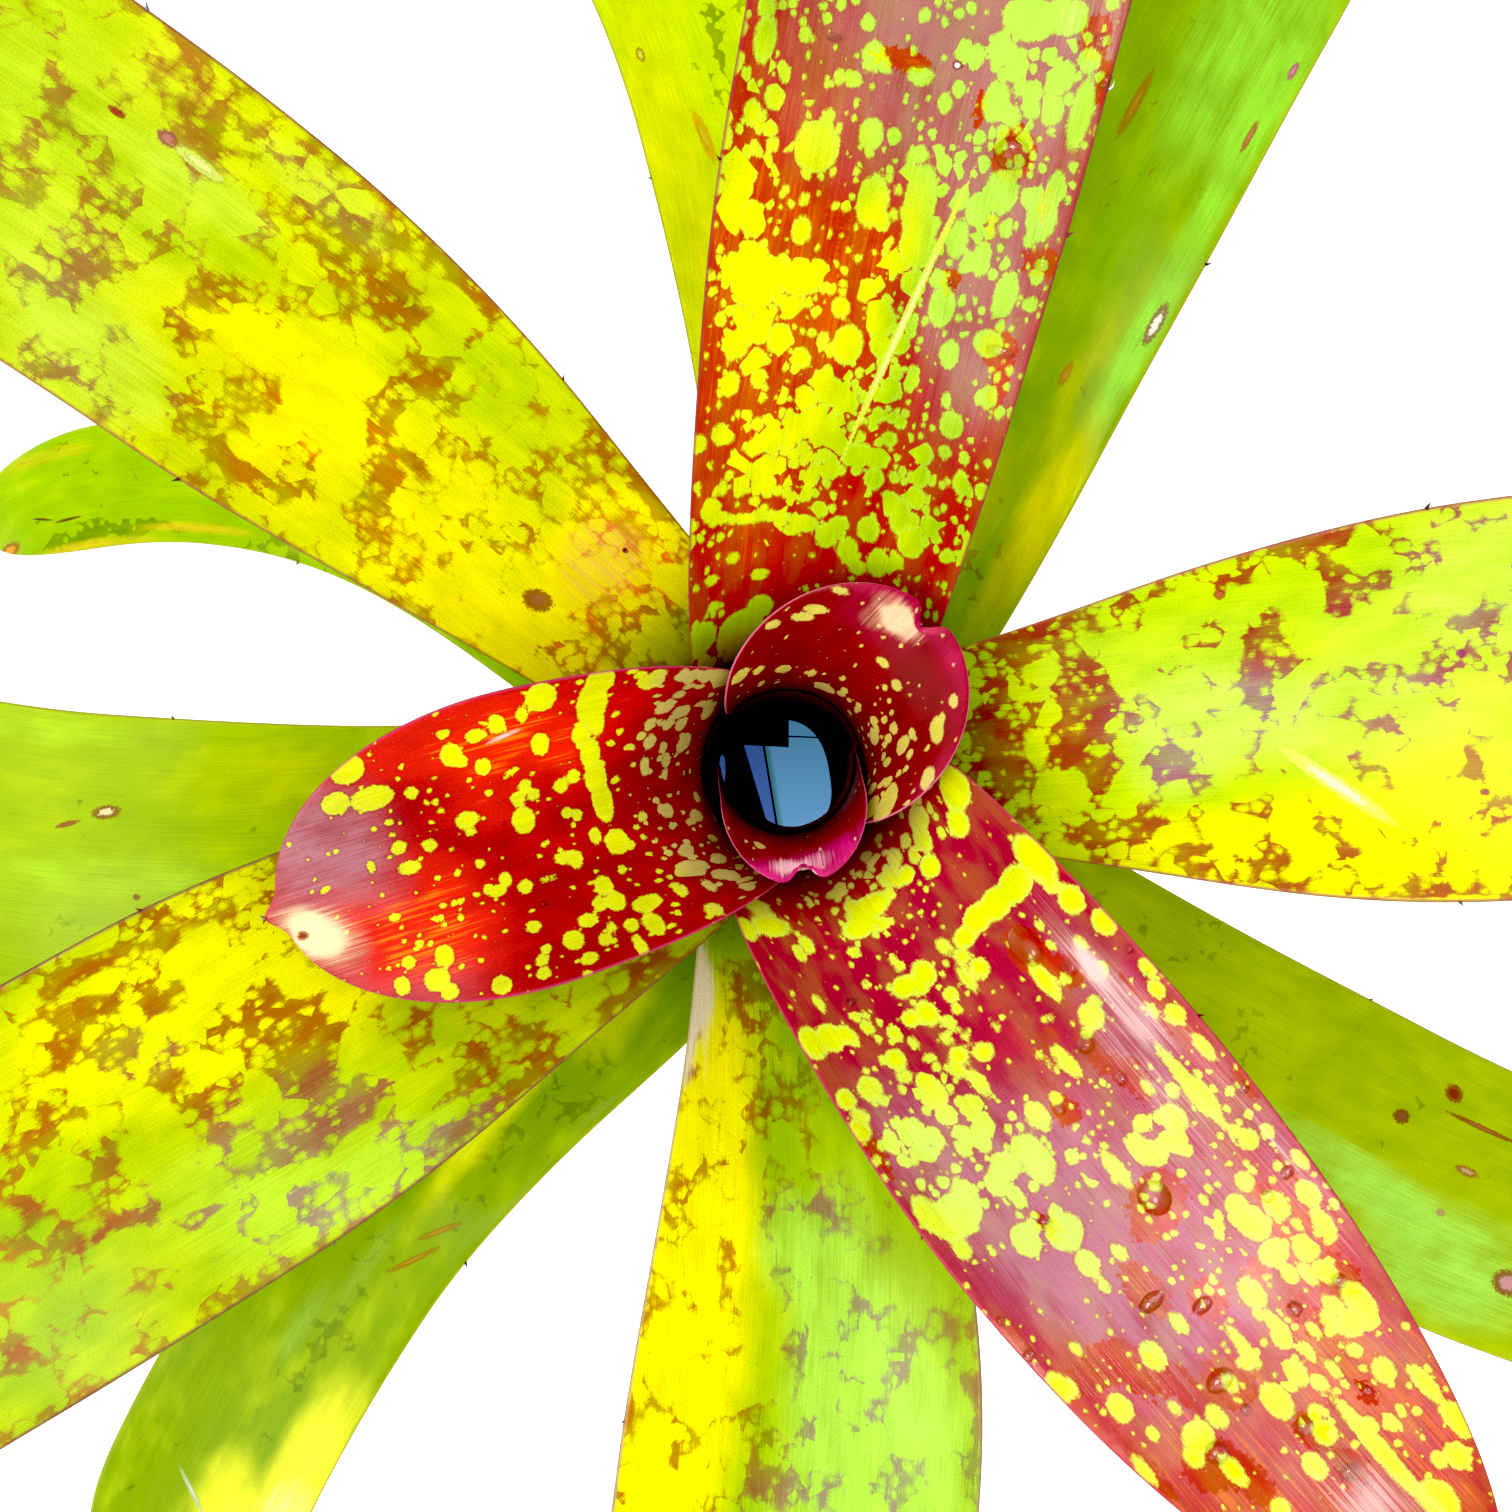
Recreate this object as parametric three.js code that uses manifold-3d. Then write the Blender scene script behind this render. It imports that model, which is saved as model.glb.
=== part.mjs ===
// Neoregelia bromeliad, lifted from its soil and standing on the cut face of its stock.
//
// Sixteen strap leaves grow from the stock in a spiral, each one about three eighths of a turn
// from the last. The foot of every leaf is a broad sheath. The sheaths stand one inside the
// next and make a tube that holds water, and above the tube each sheath turns outwards and
// becomes a blade with small spines along both margins. The two youngest leaves stay hooded
// round the mouth of the tube.
//
// Millimetres, +Z up. The origin is the middle of the flat cut face that the plant stands on.

import * as THREE from 'three';
import { mergeVertices } from 'three/addons/utils/BufferGeometryUtils.js';
import Module from 'manifold-3d';

const wasm = await Module();
wasm.setup();

const deg = THREE.MathUtils.degToRad;

// ---- Stock: the short woody stem, a cone that narrows to the growing point
const STOCK_TOP_Z = 42; // height of the seat of the youngest leaf
const STOCK_TOP_R = 6; // radius of that seat
const NODE_DROP = 1.9; // each older leaf is seated this much lower
const NODE_WIDEN = 0.75; // and this much further out
const STOCK_FOOT_R = 17; // radius of the cut face at the bottom
const STOCK_FOOT_Z = 12; // the foot is straight up to here
const STOCK_SIDES = 24;

// ---- Roots: cut off short, in a ring round the foot
const ROOT_COUNT = 9;
const ROOT_R = 1.5;
const ROOT_LENGTH = 8;
const ROOT_SIDES = 6;
const ROOT_SUNK = 4; // inner length inside the stock
const ROOT_LOWEST = 4.5; // height of the lowest roots
const ROOT_TIERS = [0, 2.7, 5.4]; // roots stand at three heights above that
const ROOT_SAG = 0.12; // radians below level

// ---- Tank: the tube that the sheaths make
const TANK_R = 17; // middle surface of the innermost sheath
const SHEATH_STEP = 1.9; // from one sheath to the next, outwards
const SHEATH_WRAP = deg(80); // a sheath reaches this far to each side of its midrib
const SHEATH_FOOT_RISE = 30; // degrees, how steeply the innermost sheath leaves the stock
const SHEATH_FOOT_EASE = 0.8; // degrees less for each older leaf
const SHEATH_LEAN = deg(91.5); // the wall leans in by a degree or two
const WATER_Z = 110; // level of the water
const FULL_WIDTH_Z = 60; // below this the tank narrows to the growing point

// ---- Leaf blades
const SHEATH_THICK = 0.9;
const BLADE_THICK = 1.3; // at the midrib
const MARGIN_THICK = 0.7;
const FLARE = 45; // length over which a sheath turns outwards into the blade
const HOOD_FLARE = 30; // the same on the two hooded leaves
const CHANNEL = 0.012; // curvature across the blade, 1/mm, which makes a shallow gutter
const DROOP_POWER = 1.3; // how late along the blade its slope changes
const SWEEP_POWER = 1.2; // how late along the blade its heading changes
const TIP_POWER = 2.2; // roundness of the tip
const UNROLL_FROM = 10; // past the neck, the blade starts to leave the round of the tank
const UNROLL_TO = 70; // and here it is a gutter of its own

// ---- Marginal spines
const SPINE_LENGTH = 1.7;
const SPINE_BASE = 2.0;
const SPINE_ROOT = 1.1; // sunk this deep in the blade
const SPINE_THICK = 0.5; // less than the margin, which the root is sunk in
const SPINE_PAIRS = 9;
const HOOD_SPINE_PAIRS = 5;

// ---- Clearances between solids
const SEAT_GAP = 0.3;
const WATER_GAP = 0.9;

// ---- Facets
const ACROSS = 8; // strips across a leaf
const SHEATH_COSINE = Math.cos(SHEATH_WRAP / ACROSS); // how far a flat strip cuts in

// ---- Leaves, youngest first.
// azimuth: where the midrib leaves the stock, degrees anticlockwise from +X.
// sweep: how far its heading turns by the tip, degrees.
// length: along the midrib, from the stock.
// neck: height at which the sheath turns outwards.
// rise, tipRise: slope of the blade just past the neck and at the tip, degrees above level.
// neckHalf, bladeHalf: half widths at the neck and across the blade.
// tip: length of the rounded end.
const TIP_POINT = 3; // the small point on a blade's tip
const HOOD_NOTCH = 4; // the notch in a hood's tip
const leafOf = (azimuth, sweep, length, neck, rise, tipRise, neckHalf, bladeHalf, tip) => (
  { azimuth, sweep, length, neck, rise, tipRise, neckHalf, bladeHalf, tip, hood: false, point: TIP_POINT });
const hoodOf = (...sizes) => ({ ...leafOf(...sizes), hood: true, point: -HOOD_NOTCH });
const LEAVES = [
  //  azimuth sweep length neck rise tipRise neckHalf bladeHalf tip
  hoodOf( 278,  -2, 109, 118, 60,  20, 26.5, 20.5, 17),
  hoodOf(  47,  -2, 128, 118, 42,  12,   28,   31, 24),
  leafOf( 195,   3, 190, 111, 27,   6, 31.5,   31, 55),
  leafOf( 306, 6.5, 282, 102, 35,   8,   33, 35.5, 136),
  leafOf(  81,  -7, 320,  97, 40,   7,   28, 33.5, 48),
  leafOf( 209,   2, 320,  91, 26,   0,   24,   39, 48),
  leafOf( 5.5,  -1, 326,  90, 32,   3,   19,   39, 48),
  leafOf( 138,  14, 332,  86, 30,  12,   20,   35, 48),
  leafOf( 274.5, -25, 330, 82, 26,  -7, 22.5, 37.5, 48),
  leafOf(  63,  -3, 320,  76, 17, -15, 31.5,   31, 48),
  leafOf( 194, -39, 310,  70, 14, -20,   23,   33, 48),
  leafOf( 323,  21, 310,  68, 12, -22,   26, 31.5, 48),
  leafOf(  85,  43, 303,  64,  9, -26,   21,   32, 48),
  leafOf( 224,  27, 300,  60, 11, -10,   35, 24.5, 48),
  leafOf(   5,   0, 275,  56,  4, -28,   26,   31, 48),
  leafOf( 145,  54, 277,  52, -1, -33,   25,   16, 48),
];

// ---- Materials: young leaves are red, middle ones blotched, old ones green
const leafMaterial = (color) => new THREE.MeshStandardMaterial({ color, roughness: 0.42, metalness: 0 });
const RED_LEAF = leafMaterial(0xa5141f);
const BLOTCHED_LEAF = leafMaterial(0xc59a22);
const GREEN_LEAF = leafMaterial(0x83b51c);
const WATER = new THREE.MeshStandardMaterial({ color: 0x141c22, roughness: 0.04, metalness: 0 });
const STOCK = new THREE.MeshStandardMaterial({ color: 0x8a6a45, roughness: 0.85, metalness: 0 });
const leafMaterialAt = (layer) => (layer < 4 ? RED_LEAF : layer < 9 ? BLOTCHED_LEAF : GREEN_LEAF);

// ---- Small helpers

const smooth = (from, to, value) => THREE.MathUtils.smoothstep(value, from, to);

const mix = THREE.MathUtils.lerp;

function range(count) {
  return Array.from({ length: count }, (_, i) => i);
}

function meshFrom(points, triangles) {
  const geometry = new THREE.BufferGeometry();
  geometry.setAttribute('position', new THREE.Float32BufferAttribute(points.flatMap((p) => p.toArray()), 3));
  geometry.setIndex(triangles.flat());
  return geometry;
}

function toSolid(geometry) {
  const bare = geometry.clone();
  bare.deleteAttribute('normal');
  bare.deleteAttribute('uv');
  const merged = mergeVertices(bare, 1e-4);
  return new wasm.Manifold(new wasm.Mesh({
    numProp: 3,
    vertProperties: new Float32Array(merged.attributes.position.array),
    triVerts: new Uint32Array(merged.index.array),
  }));
}

function toGeometry(solid) {
  const mesh = solid.getMesh();
  const geometry = new THREE.BufferGeometry();
  geometry.setAttribute('position', new THREE.BufferAttribute(new Float32Array(mesh.vertProperties), 3));
  geometry.setIndex(new THREE.BufferAttribute(new Uint32Array(mesh.triVerts), 1));
  geometry.computeVertexNormals();
  return geometry;
}

function named(name, geometry, material) {
  const mesh = new THREE.Mesh(geometry, material);
  mesh.name = name;
  return mesh;
}

// ---- The midrib: a curve from the seat on the stock, up the tank wall and out along the blade

function midrib(leaf, layer) {
  const seatR = STOCK_TOP_R + NODE_WIDEN * layer;
  const seatZ = STOCK_TOP_Z - NODE_DROP * layer;
  const wallR = TANK_R + SHEATH_STEP * layer;
  const footSlope = deg(SHEATH_FOOT_RISE - SHEATH_FOOT_EASE * layer);
  const footSlopes = range(100).map((i) => mix(footSlope, SHEATH_LEAN, smooth(0, 1, (i + 0.5) / 100)));
  const meanCos = footSlopes.reduce((sum, a) => sum + Math.cos(a), 0) / footSlopes.length;
  const meanSin = footSlopes.reduce((sum, a) => sum + Math.sin(a), 0) / footSlopes.length;
  const foot = (wallR - seatR) / meanCos; // length of the curved foot of the sheath
  const neck = foot + leaf.neck - seatZ - foot * meanSin; // distance of the neck along the midrib
  const flare = leaf.hood ? HOOD_FLARE : FLARE;
  const bladeStart = neck + flare / 2;

  const along = (s) => THREE.MathUtils.clamp((s - bladeStart) / (leaf.length - bladeStart), 0, 1);
  const slope = (s) => mix(footSlope, SHEATH_LEAN, smooth(0, foot, s))
    - (SHEATH_LEAN - deg(leaf.rise)) * smooth(neck, neck + flare, s)
    - deg(leaf.rise - leaf.tipRise) * along(s) ** DROOP_POWER;
  const heading = (s) => deg(leaf.azimuth) + deg(leaf.sweep) * along(s) ** SWEEP_POWER;

  const step = 0.5;
  const start = deg(leaf.azimuth);
  const path = [new THREE.Vector3(seatR * Math.cos(start), seatR * Math.sin(start), seatZ)];
  for (let s = step / 2; s < leaf.length + 10; s += step) {
    const level = Math.cos(slope(s));
    const turn = heading(s);
    const move = new THREE.Vector3(level * Math.cos(turn), level * Math.sin(turn), Math.sin(slope(s)));
    path.push(path.at(-1).clone().addScaledVector(move, step));
  }
  const at = (s) => {
    const i = Math.min(Math.floor(s / step), path.length - 2);
    return path[i].clone().lerp(path[i + 1], s / step - i);
  };
  return { foot, neck, flare, wallR, along, slope, heading, at };
}

// ---- The leaf's middle surface

// Half width at a distance along the midrib: sheath, then blade, then rounded tip.
function halfWidth(leaf, rib, s) {
  const p = rib.at(s);
  const sheath = SHEATH_WRAP * Math.hypot(p.x, p.y);
  const blade = mix(leaf.neckHalf, leaf.bladeHalf, smooth(rib.neck, mix(rib.neck, leaf.length, 0.55), s));
  const end = THREE.MathUtils.clamp((s - leaf.length + leaf.tip) / leaf.tip, 0, 1);
  const round = Math.sqrt(Math.max(1 - end ** TIP_POWER, 0));
  return mix(sheath, blade, smooth(rib.neck - 45, rib.neck + 5, s)) * round;
}

// A point of the surface, x to the side of the midrib: near the tank it lies on the round of
// the tube, and further out on a gutter that the midrib carries with it.
function surfacePoint(leaf, rib, s, x) {
  const m = rib.at(s);
  const r = Math.hypot(m.x, m.y);
  const turn = Math.atan2(m.y, m.x) + x / Math.max(r, 5);
  const onTube = new THREE.Vector3(r * Math.cos(turn), r * Math.sin(turn), m.z);
  if (leaf.hood) return onTube;

  const slope = rib.slope(s);
  const heading = rib.heading(s);
  const q = rib.along(s);
  const side = new THREE.Vector3(-Math.sin(heading), Math.cos(heading), 0);
  const up = new THREE.Vector3(
    -Math.sin(slope) * Math.cos(heading), -Math.sin(slope) * Math.sin(heading), Math.cos(slope));
  const bend = Math.max(Math.sin(slope) / Math.max(r, 5), 0) * (1 - q) + CHANNEL * (1 - 0.75 * q);
  const onGutter = m.clone()
    .addScaledVector(side, Math.sin(bend * x) / bend)
    .addScaledVector(up, (1 - Math.cos(bend * x)) / bend);
  return onTube.lerp(onGutter, smooth(rib.neck + UNROLL_FROM, rib.neck + UNROLL_TO, s));
}

// The three directions at a point: along the leaf, to its side, and out of its upper face.
function surfaceFrame(leaf, rib, s, x) {
  const d = 0.5; // half the step over which a direction is measured
  const at = (ds, dx) => surfacePoint(leaf, rib, Math.max(s + ds, 0), x + dx);
  const along = at(d, 0).sub(at(-d, 0)).normalize();
  const side = at(0, d).sub(at(0, -d)).normalize();
  return { along, side, out: along.clone().cross(side).normalize() };
}

function thickness(rib, s, u) {
  const middle = mix(SHEATH_THICK, BLADE_THICK, smooth(rib.neck, rib.neck + rib.flare, s));
  return mix(middle, MARGIN_THICK, u * u);
}

// ---- The leaf as a solid

// Rows of vertices from the seat to the tip, closer together where the leaf bends.
function rows(leaf, rib) {
  const tipStart = leaf.length - leaf.tip;
  const flareEnd = Math.min(rib.neck + rib.flare, tipStart - 4);
  const between = (from, to, count) => range(count).map((i) => mix(from, to, (i + 1) / count));
  const round = [0.2, 0.4, 0.58, 0.75].map((a) => tipStart + leaf.tip * Math.sin(a * Math.PI / 2));
  return [
    0, ...between(0, rib.foot, 3), ...between(rib.foot, rib.neck, 2), ...between(rib.neck, flareEnd, 3),
    ...(leaf.hood ? [tipStart] : between(flareEnd, tipStart, 4)), ...round, leaf.length - leaf.tip * 0.008,
  ];
}

function bladeGeometry(leaf, rib) {
  const upper = [];
  const lower = [];
  for (const s of rows(leaf, rib)) {
    const half = halfWidth(leaf, rib, s);
    for (let j = 0; j <= ACROSS; j++) {
      const u = (2 * j) / ACROSS - 1;
      const p = surfacePoint(leaf, rib, s, u * half);
      const { out } = surfaceFrame(leaf, rib, s, u * half);
      const halfThick = thickness(rib, s, u) / 2;
      upper.push(p.clone().addScaledVector(out, halfThick));
      lower.push(p.clone().addScaledVector(out, -halfThick));
    }
  }
  const width = ACROSS + 1;
  const rowCount = upper.length / width;
  const under = upper.length; // index offset of the lower face
  const end = leaf.length + leaf.point;
  const apex = surfacePoint(leaf, rib, end, 0);
  const { out } = surfaceFrame(leaf, rib, end, 0);
  const apexUp = 2 * under;
  const apexDown = apexUp + 1;
  const apexPair = [1, -1].map((face) => apex.clone().addScaledVector(out, face * MARGIN_THICK / 2));
  const points = [...upper, ...lower, ...apexPair];

  const triangles = [];
  const quad = (a, b, c, d) => triangles.push([a, b, c], [a, c, d]);
  for (let i = 0; i < rowCount - 1; i++) {
    for (let j = 0; j < ACROSS; j++) {
      const a = i * width + j;
      const b = a + width;
      triangles.push([a, b, b + 1], [a, b + 1, a + 1]);
      triangles.push([under + a, under + b + 1, under + b], [under + a, under + a + 1, under + b + 1]);
    }
    const left = i * width;
    const right = left + ACROSS;
    quad(left, under + left, under + left + width, left + width);
    quad(right, right + width, under + right + width, under + right);
  }
  for (let j = 0; j < ACROSS; j++) { // the end on the stock, and the tip
    quad(j, j + 1, under + j + 1, under + j);
    const a = (rowCount - 1) * width + j;
    triangles.push([a, apexUp, a + 1], [under + a, under + a + 1, apexDown]);
  }
  const first = (rowCount - 1) * width;
  const last = first + ACROSS;
  quad(first, under + first, apexDown, apexUp);
  quad(last, apexUp, apexDown, under + last);
  return meshFrom(points, triangles);
}

// A three-sided spine on the margin, leaning towards the tip, its root sunk in the blade.
// The margin is straight from row to row, so the spine stands on that line.
function spine(leaf, rib, s, hand) {
  const stations = rows(leaf, rib);
  const row = stations.findIndex((station) => station > s);
  const [before, after] = [stations[row - 1], stations[row]];
  const marginAt = (station) => surfacePoint(leaf, rib, station, hand * halfWidth(leaf, rib, station));
  const edge = marginAt(before).lerp(marginAt(after), (s - before) / (after - before));
  const along = marginAt(after).sub(marginAt(before)).normalize();
  const { out } = surfaceFrame(leaf, rib, s, hand * halfWidth(leaf, rib, s));
  const side = out.clone().cross(along).normalize();
  const corner = (outward, forward, lift) => edge.clone()
    .addScaledVector(side, hand * outward).addScaledVector(along, forward).addScaledVector(out, lift);
  const half = SPINE_BASE / 2;
  const lift = SPINE_THICK / 2;
  const points = [
    corner(-SPINE_ROOT, -half, 0), corner(-SPINE_ROOT, half, lift), corner(-SPINE_ROOT, half, -lift),
    corner(SPINE_LENGTH, half, 0),
  ];
  const faces = [[0, 1, 2], [0, 3, 1], [1, 3, 2], [2, 3, 0]];
  return meshFrom(points, hand > 0 ? faces.map((f) => [...f].reverse()) : faces);
}

function leafGeometry(leaf, layer) {
  const rib = midrib(leaf, layer);
  const pairs = leaf.hood ? HOOD_SPINE_PAIRS : SPINE_PAIRS;
  const from = rib.neck - 5;
  const to = leaf.length - leaf.tip * 0.35;
  const spines = range(pairs).flatMap((i) => [
    toSolid(spine(leaf, rib, mix(from, to, i / (pairs - 1)), 1)),
    toSolid(spine(leaf, rib, mix(from, to, (i + 0.4) / (pairs - 0.6)), -1)),
  ]);
  return toGeometry(wasm.Manifold.union([toSolid(bladeGeometry(leaf, rib)), ...spines]));
}

// ---- The stock and its root stubs

function stockGeometry() {
  const lowest = LEAVES.length - 1;
  const seatGap = SEAT_GAP / Math.cos(Math.atan(NODE_WIDEN / NODE_DROP));
  const seat = (layer) => new THREE.Vector2(
    (STOCK_TOP_R + NODE_WIDEN * layer) * SHEATH_COSINE - seatGap, STOCK_TOP_Z - NODE_DROP * layer);
  const profile = [
    new THREE.Vector2(0, 0), new THREE.Vector2(STOCK_FOOT_R - 0.8, 0), new THREE.Vector2(STOCK_FOOT_R, 0.8),
    new THREE.Vector2(STOCK_FOOT_R, STOCK_FOOT_Z), seat(lowest), seat(lowest / 2), seat(0),
    new THREE.Vector2(3.4, STOCK_TOP_Z + 1.2), new THREE.Vector2(0, STOCK_TOP_Z + 1.8),
  ];
  const core = new THREE.LatheGeometry(profile, STOCK_SIDES).rotateX(Math.PI / 2);
  const roots = range(ROOT_COUNT).map((i) => {
    const turn = (i / ROOT_COUNT) * 2 * Math.PI + 0.35 * Math.sin(5 * i); // not quite evenly spaced
    const height = ROOT_LOWEST + ROOT_TIERS[i % ROOT_TIERS.length];
    const root = new THREE.CylinderGeometry(ROOT_R * 0.8, ROOT_R, ROOT_LENGTH + ROOT_SUNK, ROOT_SIDES);
    root.translate(0, (ROOT_LENGTH + ROOT_SUNK) / 2 - ROOT_SUNK, 0).rotateZ(-Math.PI / 2 - ROOT_SAG);
    return toSolid(root.translate(STOCK_FOOT_R - 0.5, 0, height).rotateZ(turn));
  });
  return toGeometry(wasm.Manifold.union([toSolid(core), ...roots]));
}

// ---- The water in the tank: at every azimuth it reaches the innermost sheath that stands there

function waterGeometry() {
  const sides = 60;
  const heights = [STOCK_TOP_Z + 3, STOCK_TOP_Z + 5, STOCK_TOP_Z + 9, STOCK_TOP_Z + 16, 80, WATER_Z];
  const clearance = SHEATH_THICK / 2 + WATER_GAP;

  // Radius of a sheath's inner face, less the clearance, at a height.
  const innerWall = (leaf, layer) => {
    const rib = midrib(leaf, layer);
    const wall = range(200).map((i) => {
      const s = (i / 199) * (rib.neck + 8);
      const p = rib.at(s);
      const slope = rib.slope(s);
      return { r: Math.hypot(p.x, p.y) - clearance * Math.sin(slope), z: p.z + clearance * Math.cos(slope) };
    });
    const nearer = (z) => (a, b) => (Math.abs(b.z - z) < Math.abs(a.z - z) ? b : a);
    return (z) => wall.reduce(nearer(z)).r;
  };
  const walls = LEAVES.slice(0, 3).map((leaf, layer) => (
    { azimuth: leaf.azimuth, radius: innerWall(leaf, layer) }));
  const reach = deg(100); // a little past the edge of the sheath, which widens at the mouth
  const fade = deg(14);
  const radius = (turn, z) => {
    let r = walls[2].radius(z);
    for (const { azimuth, radius: wall } of [walls[1], walls[0]]) {
      const off = Math.abs(Math.atan2(Math.sin(turn - deg(azimuth)), Math.cos(turn - deg(azimuth))));
      r = mix(Math.min(r, wall(z)), r, smooth(reach, reach + fade, off));
    }
    return z < FULL_WIDTH_Z ? Math.min(r, walls[0].radius(z)) : r;
  };

  const points = [new THREE.Vector3(0, 0, heights[0]), new THREE.Vector3(0, 0, WATER_Z)];
  for (const z of heights) {
    for (let k = 0; k < sides; k++) {
      const turn = (k / sides) * 2 * Math.PI;
      const r = radius(turn, z);
      points.push(new THREE.Vector3(r * Math.cos(turn), r * Math.sin(turn), z));
    }
  }
  const triangles = [];
  const top = 2 + (heights.length - 1) * sides;
  for (let k = 0; k < sides; k++) {
    const next = (k + 1) % sides;
    triangles.push([0, 2 + next, 2 + k], [1, top + k, top + next]);
    for (let i = 0; i < heights.length - 1; i++) {
      const a = 2 + i * sides;
      const b = a + sides;
      triangles.push([a + k, a + next, b + next], [a + k, b + next, b + k]);
    }
  }
  return meshFrom(points, triangles);
}

// ---- The plant

const group = new THREE.Group();
group.add(named('stock', stockGeometry(), STOCK));
group.add(named('tank_water', waterGeometry(), WATER));
LEAVES.forEach((leaf, layer) => {
  const name = `leaf_${String(layer + 1).padStart(2, '0')}`;
  group.add(named(name, leafGeometry(leaf, layer), leafMaterialAt(layer)));
});

export default group;
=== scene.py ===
import math

import bpy
import numpy as np
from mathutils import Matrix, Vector
from mathutils.bvhtree import BVHTree


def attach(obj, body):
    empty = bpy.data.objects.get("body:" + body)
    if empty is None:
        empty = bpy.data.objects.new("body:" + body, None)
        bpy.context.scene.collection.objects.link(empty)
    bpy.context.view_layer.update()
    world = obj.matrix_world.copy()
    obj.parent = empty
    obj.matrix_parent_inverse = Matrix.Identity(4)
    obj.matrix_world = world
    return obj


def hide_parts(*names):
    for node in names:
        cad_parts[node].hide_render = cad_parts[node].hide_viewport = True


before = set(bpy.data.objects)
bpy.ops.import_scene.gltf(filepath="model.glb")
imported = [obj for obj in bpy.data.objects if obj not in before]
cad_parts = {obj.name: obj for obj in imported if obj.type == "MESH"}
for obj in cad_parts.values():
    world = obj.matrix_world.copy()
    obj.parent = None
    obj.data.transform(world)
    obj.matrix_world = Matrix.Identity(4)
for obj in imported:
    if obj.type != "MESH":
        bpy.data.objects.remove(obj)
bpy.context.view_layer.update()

scene = bpy.context.scene

# The camera looks straight down on the rosette from close above, a little to the left of its
# axis, so the nearest leaves run out of the frame on every side.
CAMERA_AT = Vector((-0.007, 0.002, 0.495))
LENS_MM, SENSOR_MM = 40.0, 36.0


def new_object(name, data):
    """An object of this mesh, lamp or camera, in the scene."""
    item = bpy.data.objects.new(name, data)
    scene.collection.objects.link(item)
    return item


camera_data = bpy.data.cameras.new("camera")
camera_data.lens = LENS_MM
camera_data.sensor_width = SENSOR_MM
camera = new_object("camera", camera_data)
camera.location = CAMERA_AT
scene.camera = camera

# The studio: a pale floor under the cut stock and an even white surround. In reflections the
# surround is dim, with one broad patch of bright sky up to the left and a window overhead.
FLOOR_HALF = 4.0
FLOOR_COLOUR, FLOOR_ROUGH = (0.9, 0.9, 0.9, 1), 0.9
FLOOR_LIGHT, FLOOR_SEEN = 0.10, 0.62
WHITE = (1.0, 1.0, 1.0, 1)
floor_mesh = bpy.data.meshes.new("floor")
floor_corners = [(-FLOOR_HALF, -FLOOR_HALF, 0), (FLOOR_HALF, -FLOOR_HALF, 0),
                 (FLOOR_HALF, FLOOR_HALF, 0), (-FLOOR_HALF, FLOOR_HALF, 0)]
floor_mesh.from_pydata(floor_corners, [], [(0, 1, 2, 3)])
floor = new_object("floor", floor_mesh)


class Wire:
    """One output of a node. Arithmetic on it adds Math nodes to the tree that it is in."""

    def __init__(self, tree, socket):
        self.tree, self.socket = tree, socket

    def feed(self, socket):
        self.tree.links.new(self.socket, socket)

    def math(self, operation, *others):
        return add(self.tree, "ShaderNodeMath", self, *others, operation=operation)

    def __add__(self, other):
        return self.math("ADD", other)

    def __sub__(self, other):
        return self.math("SUBTRACT", other)

    def __mul__(self, other):
        return self.math("MULTIPLY", other)

    def __truediv__(self, other):
        return self.math("DIVIDE", other)

    def __pow__(self, other):
        return self.math("POWER", other)

    __radd__ = __add__
    __rmul__ = __mul__

    def __rsub__(self, other):
        return (self * -1.0) + other

    def __neg__(self):
        return self * -1.0


def add(tree, kind, *values, out=0, named=None, **settings):
    """Adds a node with these settings and values on its inputs, and returns one output."""
    node = tree.nodes.new(kind)
    for key, value in settings.items():
        setattr(node, key, value)
    usable = [socket for socket in node.inputs if socket.enabled]
    pairs = list(zip(usable, values))
    pairs += [(node.inputs[key], value) for key, value in (named or {}).items()]
    for socket, value in pairs:
        if isinstance(value, Wire):
            value.feed(socket)
        elif value is not None:
            socket.default_value = value
    outputs = [socket for socket in node.outputs if socket.enabled]
    return Wire(tree, outputs[out] if isinstance(out, int) else node.outputs[out])


def smooth(start, end, x):
    """Rises softly from 0 to 1 while x goes from start to end."""
    return add(x.tree, "ShaderNodeMapRange", x, start, end, 0.0, 1.0,
               interpolation_type="SMOOTHSTEP")


def mix(a, b, share):
    """A mix of two numbers."""
    tree = next(w.tree for w in (share, a, b) if isinstance(w, Wire))
    return add(tree, "ShaderNodeMix", share, a, b, data_type="FLOAT")


def blend(a, b, share):
    """A mix of two colours."""
    tree = next(w.tree for w in (share, a, b) if isinstance(w, Wire))
    return add(tree, "ShaderNodeMix", share, a, b, data_type="RGBA")


def parts_of(wire):
    """The three parts of a vector."""
    node = add(wire.tree, "ShaderNodeSeparateXYZ", wire).socket.node
    return [Wire(wire.tree, socket) for socket in node.outputs]


def scaled(a, factor):
    """A vector or colour times a number."""
    return add(a.tree, "ShaderNodeVectorMath", a, named={"Scale": factor}, operation="SCALE")


def new_material(name):
    """A material, with its tree and its Principled shader."""
    material = bpy.data.materials.new(name)
    material.use_nodes = True
    return material, material.node_tree, material.node_tree.nodes["Principled BSDF"]


# The floor looks white to the camera but throws little light up on the plant.
floor_material, floor_tree, floor_shader = new_material("pale_floor")
floor_shader.inputs["Base Color"].default_value = FLOOR_COLOUR
floor_shader.inputs["Roughness"].default_value = FLOOR_ROUGH
floor_shader.inputs["Emission Color"].default_value = WHITE
floor_seen = add(floor_tree, "ShaderNodeLightPath", out="Is Camera Ray")
mix(FLOOR_LIGHT, FLOOR_SEEN, floor_seen).feed(floor_shader.inputs["Emission Strength"])
floor_mesh.materials.append(floor_material)

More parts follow.
